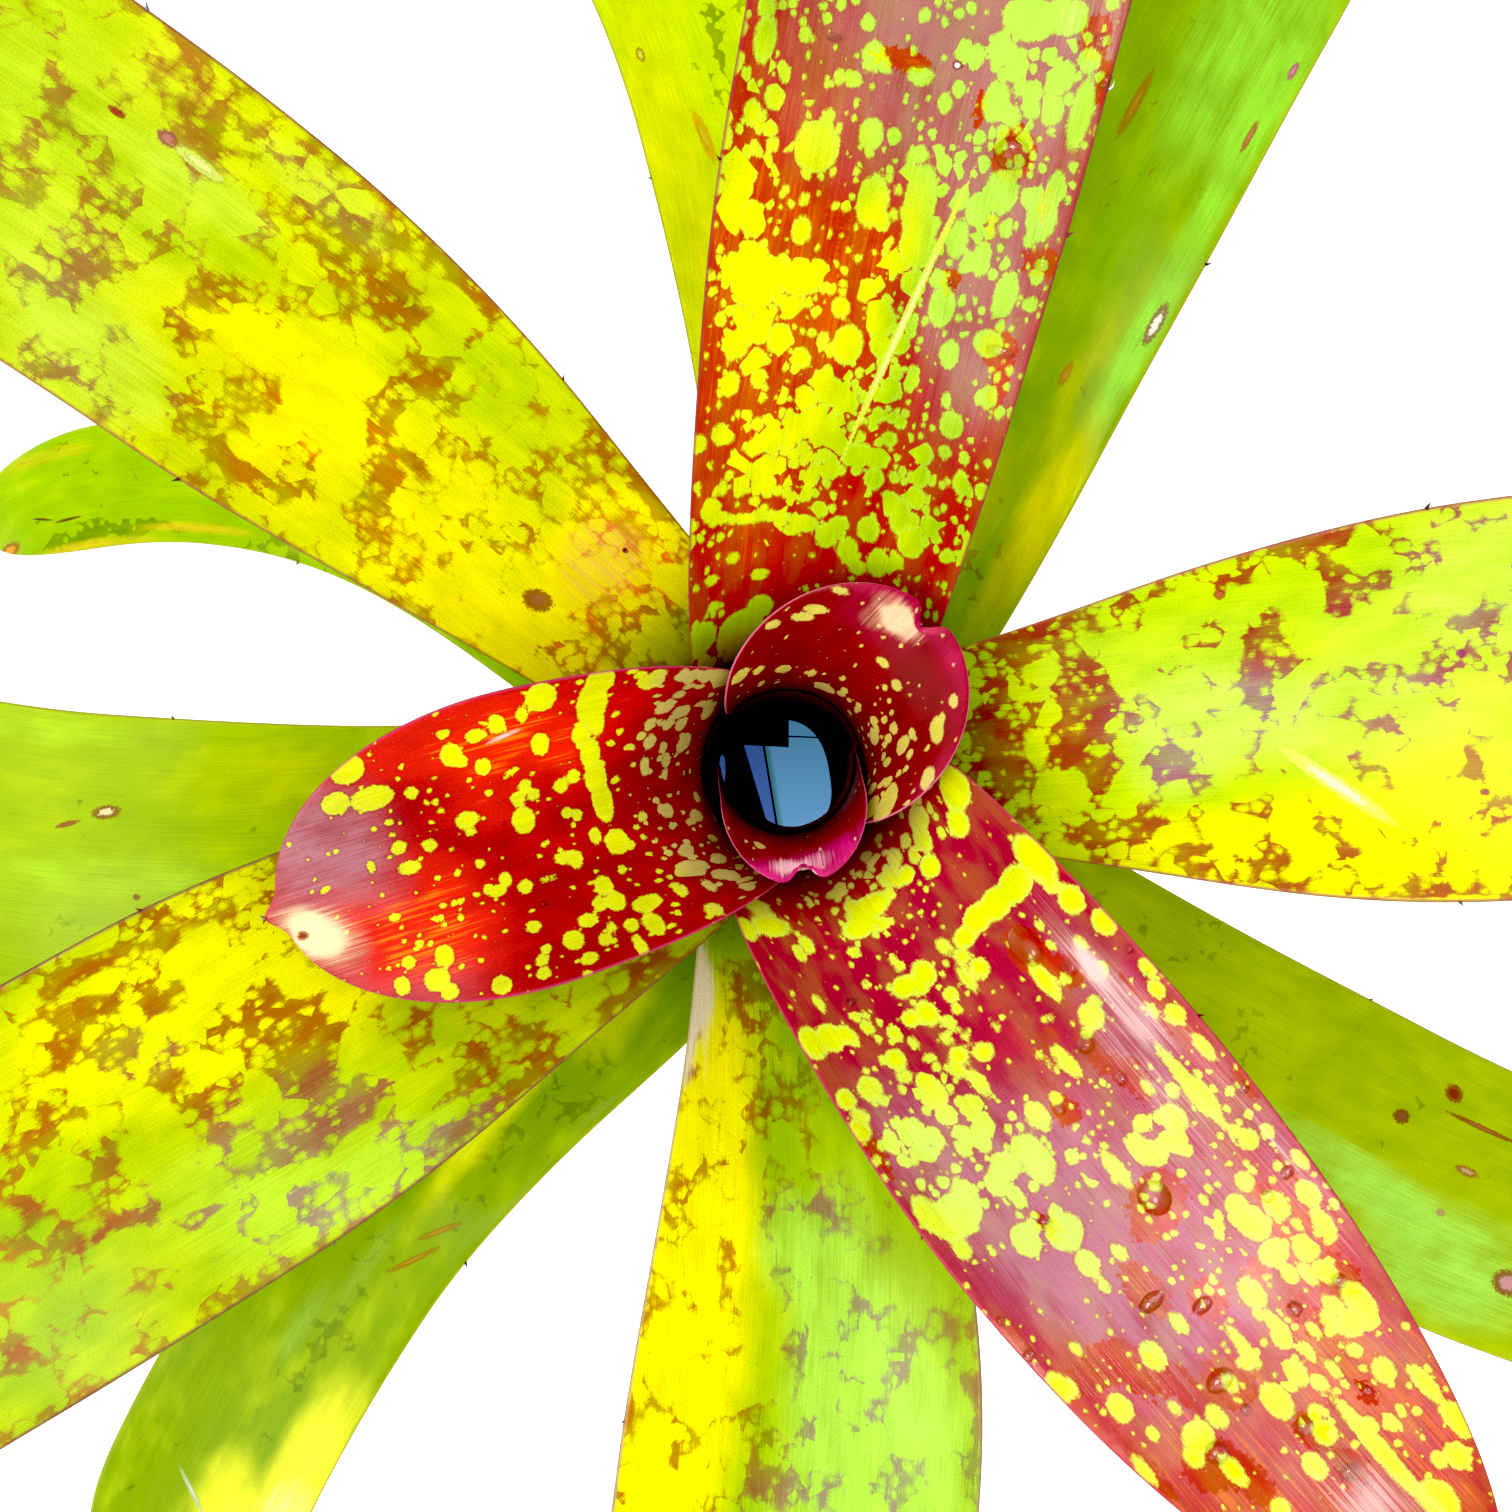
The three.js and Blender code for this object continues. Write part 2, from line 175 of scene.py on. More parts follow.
# The surround. Matt surfaces get even daylight, a little more of it from overhead. Mirroring
# ones see the dim room instead, with the sky and the window, and the camera sees plain white.
SKY_WAY = Vector((-0.30, 0.22, 0.92)).normalized()
SKY_EDGE, SKY_FULL = math.cos(math.radians(42)), math.cos(math.radians(12))
SKY_GAP, SKY_GAP_FULL = math.cos(math.radians(13)), math.cos(math.radians(6))
DIM_COLOUR, SKY_COLOUR = (0.06, 0.07, 0.08, 1), (1.9, 2.1, 2.2, 1)
DAY_WAY = Vector((-0.22, -0.10, 0.97)).normalized()
DAY_EDGE, DAY_FULL = -0.1, 0.95
DAY_LOW, DAY_HIGH, DAY_BLUE = 0.60, 1.20, 1.01
world = bpy.data.worlds.new("white_surround")
world.use_nodes = True
world_tree = world.node_tree
way = add(world_tree, "ShaderNodeTexCoord", out="Generated")
way_x, way_y, way_z = parts_of(way)


def toward(aim):
    """The cosine of the angle between the way looked at and this aim."""
    return add(world_tree, "ShaderNodeVectorMath", way, tuple(aim), operation="DOT_PRODUCT",
               out="Value")


sky = smooth(SKY_EDGE, SKY_FULL, toward(SKY_WAY)) * (1.0 - smooth(SKY_GAP, SKY_GAP_FULL, way_z))
mirrored = blend(DIM_COLOUR, SKY_COLOUR, sky)

# The window that the water mirrors: a pane of pale sky with a teal edge, a bluer strip beside
# it, a bar between them and a lintel across both, in an oval cut out by the rims of the leaves.
# Its places and half sizes are tangents of the angle from straight up, and leans are slopes.
WINDOW_AT, WINDOW_HALF, WINDOW_LEAN = (0.0182, -0.0102), (0.0255, 0.0318), 0.16
WINDOW_LIGHT, WINDOW_FALL, WINDOW_LOW, WINDOW_HIGH = 0.92, 9.0, 0.9, 0.95
BAR_AT, BAR_LEAN, BAR_HALF = 0.0060, -0.165, 0.0008
LINTEL_AT, LINTEL_LEAN, LINTEL_HALF = 0.0125, 0.04, 0.0006
STRIP_AT, STRIP_LEAN = -0.0053, -0.30
NOTCH_TO, NOTCH_ABOVE, NOTCH_LEAN = 0.0195, 0.0062, 0.05
SLIVER_AT, SLIVER_HALF, SLIVER_LIGHT = (-0.0200, -0.0080), (0.0018, 0.0085), 0.9
STRIP_BLUE, PANE_PALE, PANE_TEAL = (2.4, 4.8, 13.0, 1), (4.4, 11.0, 18.5, 1), (2.4, 6.8, 8.5, 1)
TEAL_FROM, TEAL_TO = 0.001, 0.0045
SOFT_EDGE = 0.0004
GLINT_AT, GLINT_HALF, GLINT_COLOUR = (-0.34, 0.16), (0.17, 0.19), (20.0, 20.0, 21.0, 1)
GLINT_LOW, GLINT_HIGH = 0.5, 0.6
tilt_x, tilt_y = way_x / way_z, way_y / way_z


def oval(at, half, lean=0.0, power=2.6, soft=0.04):
    """1 inside a rounded patch of the sky, 0 outside it."""
    off_x = ((tilt_x - at[0] + (tilt_y - at[1]) * lean) / half[0]).math("ABSOLUTE") ** power
    off_y = ((tilt_y - at[1]) / half[1]).math("ABSOLUTE") ** power
    return 1.0 - smooth(1.0 - soft, 1.0 + soft, off_x + off_y)


def line(off, half, sharp):
    """1 along a bar where off is near 0, and 0 past its half width."""
    return 1.0 - smooth(half * sharp, half, off.math("ABSOLUTE"))


from_bar = tilt_x - BAR_AT - tilt_y * BAR_LEAN
in_pane = smooth(-0.0003, 0.0003, from_bar)
by_bar = (1.0 - smooth(TEAL_FROM, TEAL_TO, from_bar)) * in_pane
pane_colour = blend(blend(STRIP_BLUE, PANE_PALE, in_pane), PANE_TEAL, by_bar)
bars = line(from_bar + 0.0004, BAR_HALF, 0.6)
bars = bars.math("MAXIMUM", line(tilt_y - LINTEL_AT + tilt_x * LINTEL_LEAN, LINTEL_HALF, 0.5))
notch = smooth(NOTCH_ABOVE - 0.0003, NOTCH_ABOVE + 0.0003, tilt_y + tilt_x * NOTCH_LEAN)
notch = notch * (1.0 - smooth(NOTCH_TO - SOFT_EDGE, NOTCH_TO + SOFT_EDGE, tilt_x))
in_strip = smooth(-SOFT_EDGE, SOFT_EDGE, tilt_x - STRIP_AT - tilt_y * STRIP_LEAN)
window = oval(WINDOW_AT, WINDOW_HALF, WINDOW_LEAN) * (1.0 - bars) * (1.0 - notch) * in_strip
window = window.math("MAXIMUM", oval(SLIVER_AT, SLIVER_HALF) * SLIVER_LIGHT)
window = window * smooth(WINDOW_LOW, WINDOW_HIGH, way_z)
mirrored = blend(mirrored, scaled(pane_colour, WINDOW_LIGHT - tilt_y * WINDOW_FALL), window)
# One brighter patch lower in the sky gives the drops and the waxy leaves their glint.
glint = oval(GLINT_AT, GLINT_HALF) * smooth(GLINT_LOW, GLINT_HIGH, way_z)
mirrored = blend(mirrored, GLINT_COLOUR, glint)
daylight = mix(DAY_LOW, DAY_HIGH, smooth(DAY_EDGE, DAY_FULL, toward(DAY_WAY)))
daylight = add(world_tree, "ShaderNodeCombineColor", daylight, daylight, daylight * DAY_BLUE)
surround = blend(daylight, mirrored, add(world_tree, "ShaderNodeLightPath", out="Is Glossy Ray"))
surround = blend(surround, WHITE, add(world_tree, "ShaderNodeLightPath", out="Is Camera Ray"))
surround.feed(world_tree.nodes["Background"].inputs["Color"])
world_tree.nodes["Background"].inputs["Strength"].default_value = 1.0
scene.world = world

# Firm contrast: near-black comes out black, and the pale floor white.
BLACK_LEVEL, WHITE_LEVEL = (0.020,) * 3, (0.85,) * 3
scene.view_settings.view_transform = "Standard"
scene.view_settings.use_curve_mapping = True
scene.view_settings.curve_mapping.black_level = BLACK_LEVEL
scene.view_settings.curve_mapping.white_level = WHITE_LEVEL
scene.view_settings.curve_mapping.update()

# One broad, slightly warm lamp, high up to the left and in front, gives the light a side.
PLANT_MIDDLE = Vector((0, 0, 0.12))
LAMP_AT, LAMP_SIDE = Vector((-1.2, -0.9, 1.6)), 0.9
LAMP_WATTS, LAMP_TINT = 9, (1.0, 0.98, 0.94)
lamp_data = bpy.data.lights.new("daylight", "AREA")
lamp_data.shape = "SQUARE"
lamp_data.size = LAMP_SIDE
lamp_data.energy = LAMP_WATTS
lamp_data.color = LAMP_TINT
lamp = new_object("daylight", lamp_data)
lamp.location = LAMP_AT
lamp.rotation_mode = "QUATERNION"
lamp.rotation_quaternion = (PLANT_MIDDLE - LAMP_AT).to_track_quat("-Z", "Y")

# The leaves: sixteen straps of tough, waxy tissue, 1.3 mm thick, grown from the stock in a
# spiral. Each is a sheath that helps to make the wall of the tank, and above it a blade with
# small spines on both margins. The whole shape follows one rule, so Geometry Nodes make it.
STOCK_TOP_Z, STOCK_TOP_R = 0.042, 0.006
# Each leaf has its seat this much lower and wider on the stock than the one before it.
NODE_DROP, NODE_WIDEN, SHEATH_STEP = 0.0019, 0.00075, 0.0019
TANK_R = 0.017
SHEATH_LEAN, SHEATH_WRAP = math.radians(91.5), math.radians(80)
SHEATH_THICK, BLADE_THICK = 0.0009, 0.0013
FOOT_SLOPE, FOOT_FLATTER = 30, 0.8
FLARE, HOOD_FLARE = 0.045, 0.030
TIP_POINT, HOOD_NOTCH, POINT_SPREAD = 0.003, 0.004, 0.0026
# Where the sheath widens to the blade and unrolls, from the neck, and where the blade is widest.
WIDEN_FROM, WIDEN_TO, UNROLL_FROM, UNROLL_TO, WIDEST = -0.045, 0.005, 0.010, 0.070, 0.55
DROOP_POWER, SWEEP_POWER, TIP_POWER = 1.3, 1.2, 2.2
CHANNEL, CHANNEL_LOST, LEAST_BEND_R = 12.0, 0.75, 0.005
WAVE, WAVE_LENGTH, WAVE_OFFSET, WAVE_FROM, WAVE_TO = 0.0010, 0.07, 1.3, 0.03, 0.09
SPINE_R, SPINE_LENGTH, SPINE_SUNK = 0.00042, 0.0016, 0.0002
SPINE_SPACING, SPINE_FORWARD, SPINE_SMALL, SPINE_BIG = 0.0042, 0.75, 0.55, 1.1


def vector(tree, x, y, z):
    return add(tree, "ShaderNodeCombineXYZ", x, y, z)


def mix_vector(a, b, share):
    """A mix of two vectors."""
    return add(share.tree, "ShaderNodeMix", share, a, b, data_type="VECTOR")


def vector_math(operation, a, *others):
    return add(a.tree, "ShaderNodeVectorMath", a, *others, operation=operation)


def new_group(name, kind, inputs, outputs):
    """A node group, with its inputs as wires by name, and its output node."""
    tree = bpy.data.node_groups.new(name, kind)
    for label, socket_type, default in inputs:
        socket = tree.interface.new_socket(label, in_out="INPUT", socket_type=socket_type)
        if default is not None:
            socket.default_value = default
    for label, socket_type in outputs:
        tree.interface.new_socket(label, in_out="OUTPUT", socket_type=socket_type)
    entry = tree.nodes.new("NodeGroupInput")
    exit_node = tree.nodes.new("NodeGroupOutput")
    wires = {label: Wire(tree, entry.outputs[label]) for label, _, _ in inputs}
    return tree, wires, exit_node


def stored(geometry, name, kind, value):
    """The geometry with this value kept on its points, under this name."""
    return add(geometry.tree, "GeometryNodeStoreNamedAttribute", geometry, None, name, value,
               data_type=kind, domain="POINT")


def read(tree, name, kind):
    """A value kept on the points, by its name."""
    return add(tree, "GeometryNodeInputNamedAttribute", name, data_type=kind)


def joined(*geometries):
    node = geometries[0].tree.nodes.new("GeometryNodeJoinGeometry")
    for geometry in geometries:
        geometry.feed(node.inputs[0])
    return Wire(node.id_data, node.outputs[0])


RIB_POINTS, RIB_EXTRA = 600, 0.010
FLOAT, INT = "NodeSocketFloat", "NodeSocketInt"
GEOMETRY, MATERIAL = "NodeSocketGeometry", "NodeSocketMaterial"
leaf_tree, leaf, leaf_out = new_group("strap_leaf", "GeometryNodeTree", [
    ("Seat radius", FLOAT, STOCK_TOP_R), ("Seat height", FLOAT, STOCK_TOP_Z),
    ("Azimuth", FLOAT, 0.0), ("Sweep", FLOAT, 0.0), ("Length", FLOAT, 0.3),
    ("Foot slope", FLOAT, 0.5), ("Foot", FLOAT, 0.02), ("Neck", FLOAT, 0.07),
    ("Flare", FLOAT, FLARE), ("Rise", FLOAT, 0.5), ("Tip rise", FLOAT, 0.0),
    ("Neck half", FLOAT, 0.025), ("Blade half", FLOAT, 0.033), ("Tip", FLOAT, 0.048),
    ("Point", FLOAT, TIP_POINT), ("Hooded", FLOAT, 0.0), ("Channel", FLOAT, CHANNEL),
    ("Wave", FLOAT, WAVE), ("Wave length", FLOAT, WAVE_LENGTH), ("Phase", FLOAT, 0.0),
    ("Rows", INT, 150), ("Columns", INT, 30), ("Spine spacing", FLOAT, SPINE_SPACING),
    ("Seed", INT, 0), ("Leaf material", MATERIAL, None), ("Spine material", MATERIAL, None),
], [("Geometry", GEOMETRY)])


def blade_share(s):
    """How far along the blade a station is, from 0 just past the neck to 1 at the tip."""
    start = leaf["Neck"] + leaf["Flare"] * 0.5
    return add(leaf_tree, "ShaderNodeMapRange", s, start, leaf["Length"], 0.0, 1.0)


def slope_at(s):
    """How steeply the midrib climbs: up the sheath, then over at the neck, and drooping."""
    upright = mix(leaf["Foot slope"], SHEATH_LEAN, smooth(0.0, leaf["Foot"], s))
    turned = (SHEATH_LEAN - leaf["Rise"]) * smooth(leaf["Neck"], leaf["Neck"] + leaf["Flare"], s)
    drooped = (leaf["Rise"] - leaf["Tip rise"]) * blade_share(s) ** DROOP_POWER
    return upright - turned - drooped


def heading_at(s):
    """Which way the midrib runs, seen from above."""
    return leaf["Azimuth"] + leaf["Sweep"] * blade_share(s) ** SWEEP_POWER


# The midrib is a line whose steps are added up along it.
step = (leaf["Length"] + RIB_EXTRA) / (RIB_POINTS - 1.0)
index = add(leaf_tree, "GeometryNodeInputIndex")
middle = (index + 0.5) * step
level = slope_at(middle).math("COSINE") * step
turn = heading_at(middle)
move = vector(leaf_tree, level * turn.math("COSINE"), level * turn.math("SINE"),
              slope_at(middle).math("SINE") * step)
passed = add(leaf_tree, "GeometryNodeAccumulateField", move, data_type="FLOAT_VECTOR",
             out="Trailing")
seat = vector(leaf_tree, leaf["Seat radius"] * leaf["Azimuth"].math("COSINE"),
              leaf["Seat radius"] * leaf["Azimuth"].math("SINE"), leaf["Seat height"])
rib = add(leaf_tree, "GeometryNodeMeshLine", RIB_POINTS)
rib = add(leaf_tree, "GeometryNodeSetPosition", rib, None, vector_math("ADD", seat, passed))

# The blade is a grid, rows along the leaf and columns across it, closer at tip and margins.
SHEATH_ROWS, SHEATH_SHARE = 0.12, 0.85
EVEN_COLUMNS, MARGIN_COLUMNS = 0.4, 0.6
QUARTER = math.pi / 2
grid = add(leaf_tree, "GeometryNodeMeshGrid", 1.0, 2.0, leaf["Rows"], leaf["Columns"])
row, column, _ = parts_of(add(leaf_tree, "GeometryNodeInputPosition"))
row = row + 0.5
sheath_end = leaf["Neck"] * SHEATH_SHARE
blade_run = leaf["Length"] - leaf["Tip"] - sheath_end
tip_run = leaf["Tip"] * QUARTER
tip_start = 1.0 - (1.0 - SHEATH_ROWS) * leaf["Tip"] * QUARTER / (blade_run + tip_run)


def rows_from(first, last, span):
    """Rises evenly from 0 to span while the row goes from first to last."""
    return add(leaf_tree, "ShaderNodeMapRange", row, first, last, 0.0, span)


along_rib = (rows_from(0.0, SHEATH_ROWS, sheath_end) + rows_from(SHEATH_ROWS, tip_start, blade_run)
             + rows_from(tip_start, 1.0, QUARTER).math("SINE") * leaf["Tip"])
across = column * EVEN_COLUMNS + (column * QUARTER).math("SINE") * MARGIN_COLUMNS
grid = stored(grid, "along", "FLOAT", along_rib)
grid = stored(grid, "across", "FLOAT", across)

# s is how far along the leaf a point lies, in metres, and u how far across it, from -1 to 1.
s = read(leaf_tree, "along", "FLOAT")
u = read(leaf_tree, "across", "FLOAT")
here = s / step
before = here.math("FLOOR")
rib_place = add(leaf_tree, "GeometryNodeInputPosition")


def rib_sample(at):
    return add(leaf_tree, "GeometryNodeSampleIndex", rib, rib_place, at,
               data_type="FLOAT_VECTOR", domain="POINT")


# m is the point of the midrib beside it, r that point's distance from the axis of the rosette.
m = mix_vector(rib_sample(before), rib_sample(before + 1.0), here - before)
mx, my, mz = parts_of(m)
r = (mx * mx + my * my).math("SQRT")
safe_r = r.math("MAXIMUM", LEAST_BEND_R)
blade = blade_share(s)

sheath_half = r * SHEATH_WRAP
widest = mix(leaf["Neck"], leaf["Length"], WIDEST)
blade_half = mix(leaf["Neck half"], leaf["Blade half"], smooth(leaf["Neck"], widest, s))
end = add(leaf_tree, "ShaderNodeMapRange", s, leaf["Length"] - leaf["Tip"], leaf["Length"],
          0.0, 1.0)
roundness = (1.0 - end ** TIP_POWER).math("MAXIMUM", 0.0).math("SQRT")
widened = smooth(leaf["Neck"] + WIDEN_FROM, leaf["Neck"] + WIDEN_TO, s)
x = u * (mix(sheath_half, blade_half, widened) * roundness)

slope, heading = slope_at(s), heading_at(s)
climb, run = slope.math("SINE"), slope.math("COSINE")
east, north = heading.math("COSINE"), heading.math("SINE")
forward = vector(leaf_tree, run * east, run * north, climb)
side = vector(leaf_tree, -north, east, 0.0)
upward = vector(leaf_tree, -(climb * east), -(climb * north), run)

# The sheath is part of a tube round the axis, and the blade a gutter along the midrib.
around = my.math("ARCTAN2", mx) + x / safe_r
on_tube = vector(leaf_tree, r * around.math("COSINE"), r * around.math("SINE"), mz)
bend = ((climb / safe_r).math("MAXIMUM", 0.0) * (1.0 - blade)
        + leaf["Channel"] * (1.0 - blade * CHANNEL_LOST))
arc = x * bend
out_to_side = scaled(side, arc.math("SINE") / bend)
up_the_gutter = scaled(upward, (1.0 - arc.math("COSINE")) / bend)
on_gutter = vector_math("ADD", m, vector_math("ADD", out_to_side, up_the_gutter))
unrolled = smooth(leaf["Neck"] + UNROLL_FROM, leaf["Neck"] + UNROLL_TO, s) * (1.0 - leaf["Hooded"])
place = mix_vector(on_tube, on_gutter, unrolled)

# The margins wave gently, out of step with each other, and the tip has its point or notch.
wave_turn = (s / leaf["Wave length"] * (2 * math.pi) + leaf["Phase"]
             + u.math("SIGN") * WAVE_OFFSET)
wave = (wave_turn.math("SINE") * leaf["Wave"] * u.math("ABSOLUTE") ** 3.0
        * smooth(leaf["Neck"] + WAVE_FROM, leaf["Neck"] + WAVE_TO, s) * (1.0 - end * end))
place = vector_math("ADD", place, scaled(upward, wave))
spread = (x / POINT_SPREAD) ** 2.0
pointing = (-spread).math("EXPONENT") * smooth(0.75, 1.0, end) * leaf["Point"]
place = vector_math("ADD", place, scaled(forward, pointing))
sheet = add(leaf_tree, "GeometryNodeSetPosition", grid, None, place)
sheet = stored(sheet, "leaf_place", "FLOAT_VECTOR", vector(leaf_tree, x * 1000.0, s * 1000.0, u))
sheet = stored(sheet, "forward", "FLOAT_VECTOR", forward)


def soft_field(across_size, along_size, detail, shift):
    """Slow noise from 0 to 1 over the leaf, its features of these sizes in metres."""
    at = vector(leaf_tree, x / across_size + leaf["Seed"] * 7.31 + shift, s / along_size + shift,
                0.0)
    return add(leaf_tree, "ShaderNodeTexNoise", at, noise_dimensions="2D",
               named={"Scale": 1.0, "Detail": detail, "Roughness": 0.6})


# Two triples of slow noise that the skin reads: its drift and mottling, and its weathering.
drift = vector(leaf_tree, soft_field(0.004, 0.005, 1.0, 3.7), soft_field(0.004, 0.005, 1.0, 9.1),
               soft_field(0.004, 0.010, 2.0, 55.0))
weather = vector(leaf_tree, soft_field(0.011, 0.026, 2.0, 13.1),
                 soft_field(0.009, 0.014, 1.0, 83.0), soft_field(0.005, 0.013, 2.0, 61.0))
sheet = stored(sheet, "drift", "FLOAT_VECTOR", drift)
sheet = stored(sheet, "weather", "FLOAT_VECTOR", weather)
sheet = stored(sheet, "facing", "FLOAT_VECTOR", add(leaf_tree, "GeometryNodeInputNormal"))

# Two faces, thickest at the midrib and closed along the margin, the seat and the tip.
CLOSING_RUN = 0.0015
thick = mix(SHEATH_THICK, BLADE_THICK, smooth(leaf["Neck"], leaf["Neck"] + leaf["Flare"], s))
thin_edge = (1.0 - u.math("ABSOLUTE") ** 6.0).math("MAXIMUM", 0.0).math("SQRT")
half_thick = thick * 0.5 * thin_edge * smooth(0.0, CLOSING_RUN, s) * (1.0 - end ** 8.0)
facing = read(leaf_tree, "facing", "FLOAT_VECTOR")


def face(hand):
    """The upper face of the leaf for 1.0 and the lower one for -1.0."""
    lift = scaled(facing, half_thick * hand)
    skin = add(leaf_tree, "GeometryNodeSetPosition", sheet, None, None, lift)
    return stored(skin, "under", "FLOAT", 0.5 - 0.5 * hand)


shell = joined(face(1.0), add(leaf_tree, "GeometryNodeFlipFaces", face(-1.0)))
shell = add(leaf_tree, "GeometryNodeMergeByDistance", shell, None, 1e-6)
shell = add(leaf_tree, "GeometryNodeSetShadeSmooth", shell)
shell = add(leaf_tree, "GeometryNodeSetMaterial", shell, None, leaf["Leaf material"])

# The spines stand along both margins from the neck nearly to the tip, and lean forward.
on_margin = u.math("ABSOLUTE").math("GREATER_THAN", 0.999)
past_neck = s.math("GREATER_THAN", leaf["Neck"] - 0.004)
margin = add(leaf_tree, "GeometryNodeMeshToCurve", sheet, on_margin * past_neck)
margin = add(leaf_tree, "GeometryNodeResampleCurve", margin, None, None, leaf["Spine spacing"],
             mode="LENGTH")
ahead = read(leaf_tree, "forward", "FLOAT_VECTOR")
outward = scaled(vector_math("CROSS_PRODUCT", facing, ahead), u.math("SIGN"))
spine_way = vector_math("ADD", outward, scaled(ahead, SPINE_FORWARD))
spine_turn = add(leaf_tree, "FunctionNodeAlignRotationToVector", None, 1.0, spine_way, axis="Z")
spine_cone = add(leaf_tree, "GeometryNodeMeshCone", 6, 2, 1, 0.0, SPINE_R, SPINE_LENGTH)
spine_cone = add(leaf_tree, "GeometryNodeTransform", spine_cone, (0.0, 0.0, -SPINE_SUNK))
spine_size = add(leaf_tree, "FunctionNodeRandomValue", SPINE_SMALL, SPINE_BIG, None, leaf["Seed"],
                 data_type="FLOAT")
spines = add(leaf_tree, "GeometryNodeInstanceOnPoints", margin, None, spine_cone, None, None,
             spine_turn, spine_size)
spines = add(leaf_tree, "GeometryNodeRealizeInstances", spines)
spines = add(leaf_tree, "GeometryNodeSetMaterial", spines, None, leaf["Spine material"])
joined(shell, spines).feed(leaf_out.inputs["Geometry"])


def set_inputs(modifier, values):
    """Sets a Geometry Nodes modifier's inputs, by the identifiers of their sockets."""
    for item in modifier.node_group.interface.items_tree:
        if item.item_type == "SOCKET" and item.in_out == "INPUT" and item.name in values:
            modifier[item.identifier] = values[item.name]


def made_by(tree, name, values):
    """A plain mesh object made by a Geometry Nodes tree with these inputs."""
    seed_object = new_object(name + "_seed", bpy.data.meshes.new(name + "_seed"))
    modifier = seed_object.modifiers.new("shape", "NODES")
    modifier.node_group = tree
    set_inputs(modifier, values)
    evaluated = seed_object.evaluated_get(bpy.context.evaluated_depsgraph_get())
    mesh = bpy.data.meshes.new_from_object(evaluated)
    bpy.data.objects.remove(seed_object)
    mesh.name = name
    return new_object(name, mesh)


def foot_slope(layer):
    """How steeply a leaf leaves its seat on the stock."""
    return math.radians(FOOT_SLOPE - FOOT_FLATTER * layer)


def foot_means(layer, steps=100):
    """The mean cosine and sine of the slope along the curved foot of a sheath."""
    low = foot_slope(layer)
    shares = [(i + 0.5) / steps for i in range(steps)]
    slopes = [low + (SHEATH_LEAN - low) * t * t * (3 - 2 * t) for t in shares]
    return sum(map(math.cos, slopes)) / steps, sum(map(math.sin, slopes)) / steps


def leaf_sizes(layer, azimuth, sweep, length, neck, rise, tip_rise, neck_half, blade_half, tip,
               hood=False):
    """The inputs for one leaf. layer counts them from the youngest, and neck is the height at
    which the blade turns outward. Angles are in degrees and lengths in millimetres."""
    seat_r = STOCK_TOP_R + NODE_WIDEN * layer
    seat_z = STOCK_TOP_Z - NODE_DROP * layer
    mean_cos, mean_sin = foot_means(layer)
    foot = (TANK_R + SHEATH_STEP * layer - seat_r) / mean_cos
    return {
        "Seat radius": seat_r, "Seat height": seat_z, "Azimuth": math.radians(azimuth),
        "Sweep": math.radians(sweep), "Length": length / 1000, "Foot slope": foot_slope(layer),
        "Foot": foot, "Neck": foot + neck / 1000 - seat_z - foot * mean_sin,
        "Flare": HOOD_FLARE if hood else FLARE, "Rise": math.radians(rise),
        "Tip rise": math.radians(tip_rise), "Neck half": neck_half / 1000,
        "Blade half": blade_half / 1000, "Tip": tip / 1000,
        "Point": -HOOD_NOTCH if hood else TIP_POINT, "Hooded": float(hood),
    }


# Leaf skin. A waxy green or red ground carries rounded yellow-green spots of all sizes, which
# run together where the leaf holds more of them. Fine fibres run along the blade under it.
COLOR, VECTOR = "NodeSocketColor", "NodeSocketVector"
# Sizes of the noises in it, across and along the leaf, and of the cells of its spots, in mm.
FIBRE, STREAK, SPECKLE, WOBBLE = (0.26, 16.0), (0.60, 22.0), (0.30, 0.42), (1.1, 1.4)
FRAY, RIDGE = (0.45, 5.0), (1.3, 60.0)
BIG_CELL, MIDDLE_CELL, SMALL_CELL = 9.0, 4.6, 2.1
FLAME_ORANGE, SHADE_KHAKI = (0.84, 0.19, 0.004, 1.0), (0.72, 0.50, 0.21, 1.0)
SCURF_GREY = (0.34, 0.38, 0.22, 1.0)
skin_tree, skin, skin_out = new_group("leaf_skin", "ShaderNodeTree", [
    ("Place", VECTOR, None), ("Seed", FLOAT, 0.0), ("Tone", FLOAT, 0.5), ("Spots", FLOAT, -3.0),
    ("Warm", FLOAT, 0.0), ("Bloom", FLOAT, 0.0), ("Pale", FLOAT, 0.0), ("Under", FLOAT, 0.0),
    ("Ground", COLOR, None), ("Warm ground", COLOR, None), ("Bloom ground", COLOR, None),
    ("Spot", COLOR, None), ("Warm spot", COLOR, None), ("Bloom spot", COLOR, None),
    ("Pale colour", COLOR, None), ("Rim colour", COLOR, None), ("Edge colour", COLOR, None),
    ("Fade", FLOAT, 0.0), ("Thin ground", COLOR, None), ("Deep", FLOAT, 0.0), ("Wet", FLOAT, 0.0),
    ("Halo", FLOAT, 0.0), ("Fine", FLOAT, 0.0), ("Flame", FLOAT, 0.0),
    ("Drift", VECTOR, None), ("Weather", VECTOR, None),
], [("Color", COLOR), ("Roughness", FLOAT), ("Height", FLOAT)])
skin_x, skin_s, skin_u = parts_of(skin["Place"])


def grain(size, detail, shift):
    """Noise from 0 to 1 with features of this size."""
    at = vector(skin_tree, skin_x / size[0] + skin["Seed"] + shift, skin_s / size[1] + shift, 0.0)
    return add(skin_tree, "ShaderNodeTexNoise", at, noise_dimensions="2D",
               named={"Scale": 1.0, "Detail": detail, "Roughness": 0.6})


def other_output(wire, name):
    """Another output of the node that this wire comes from."""
    return Wire(wire.tree, wire.socket.node.outputs[name])


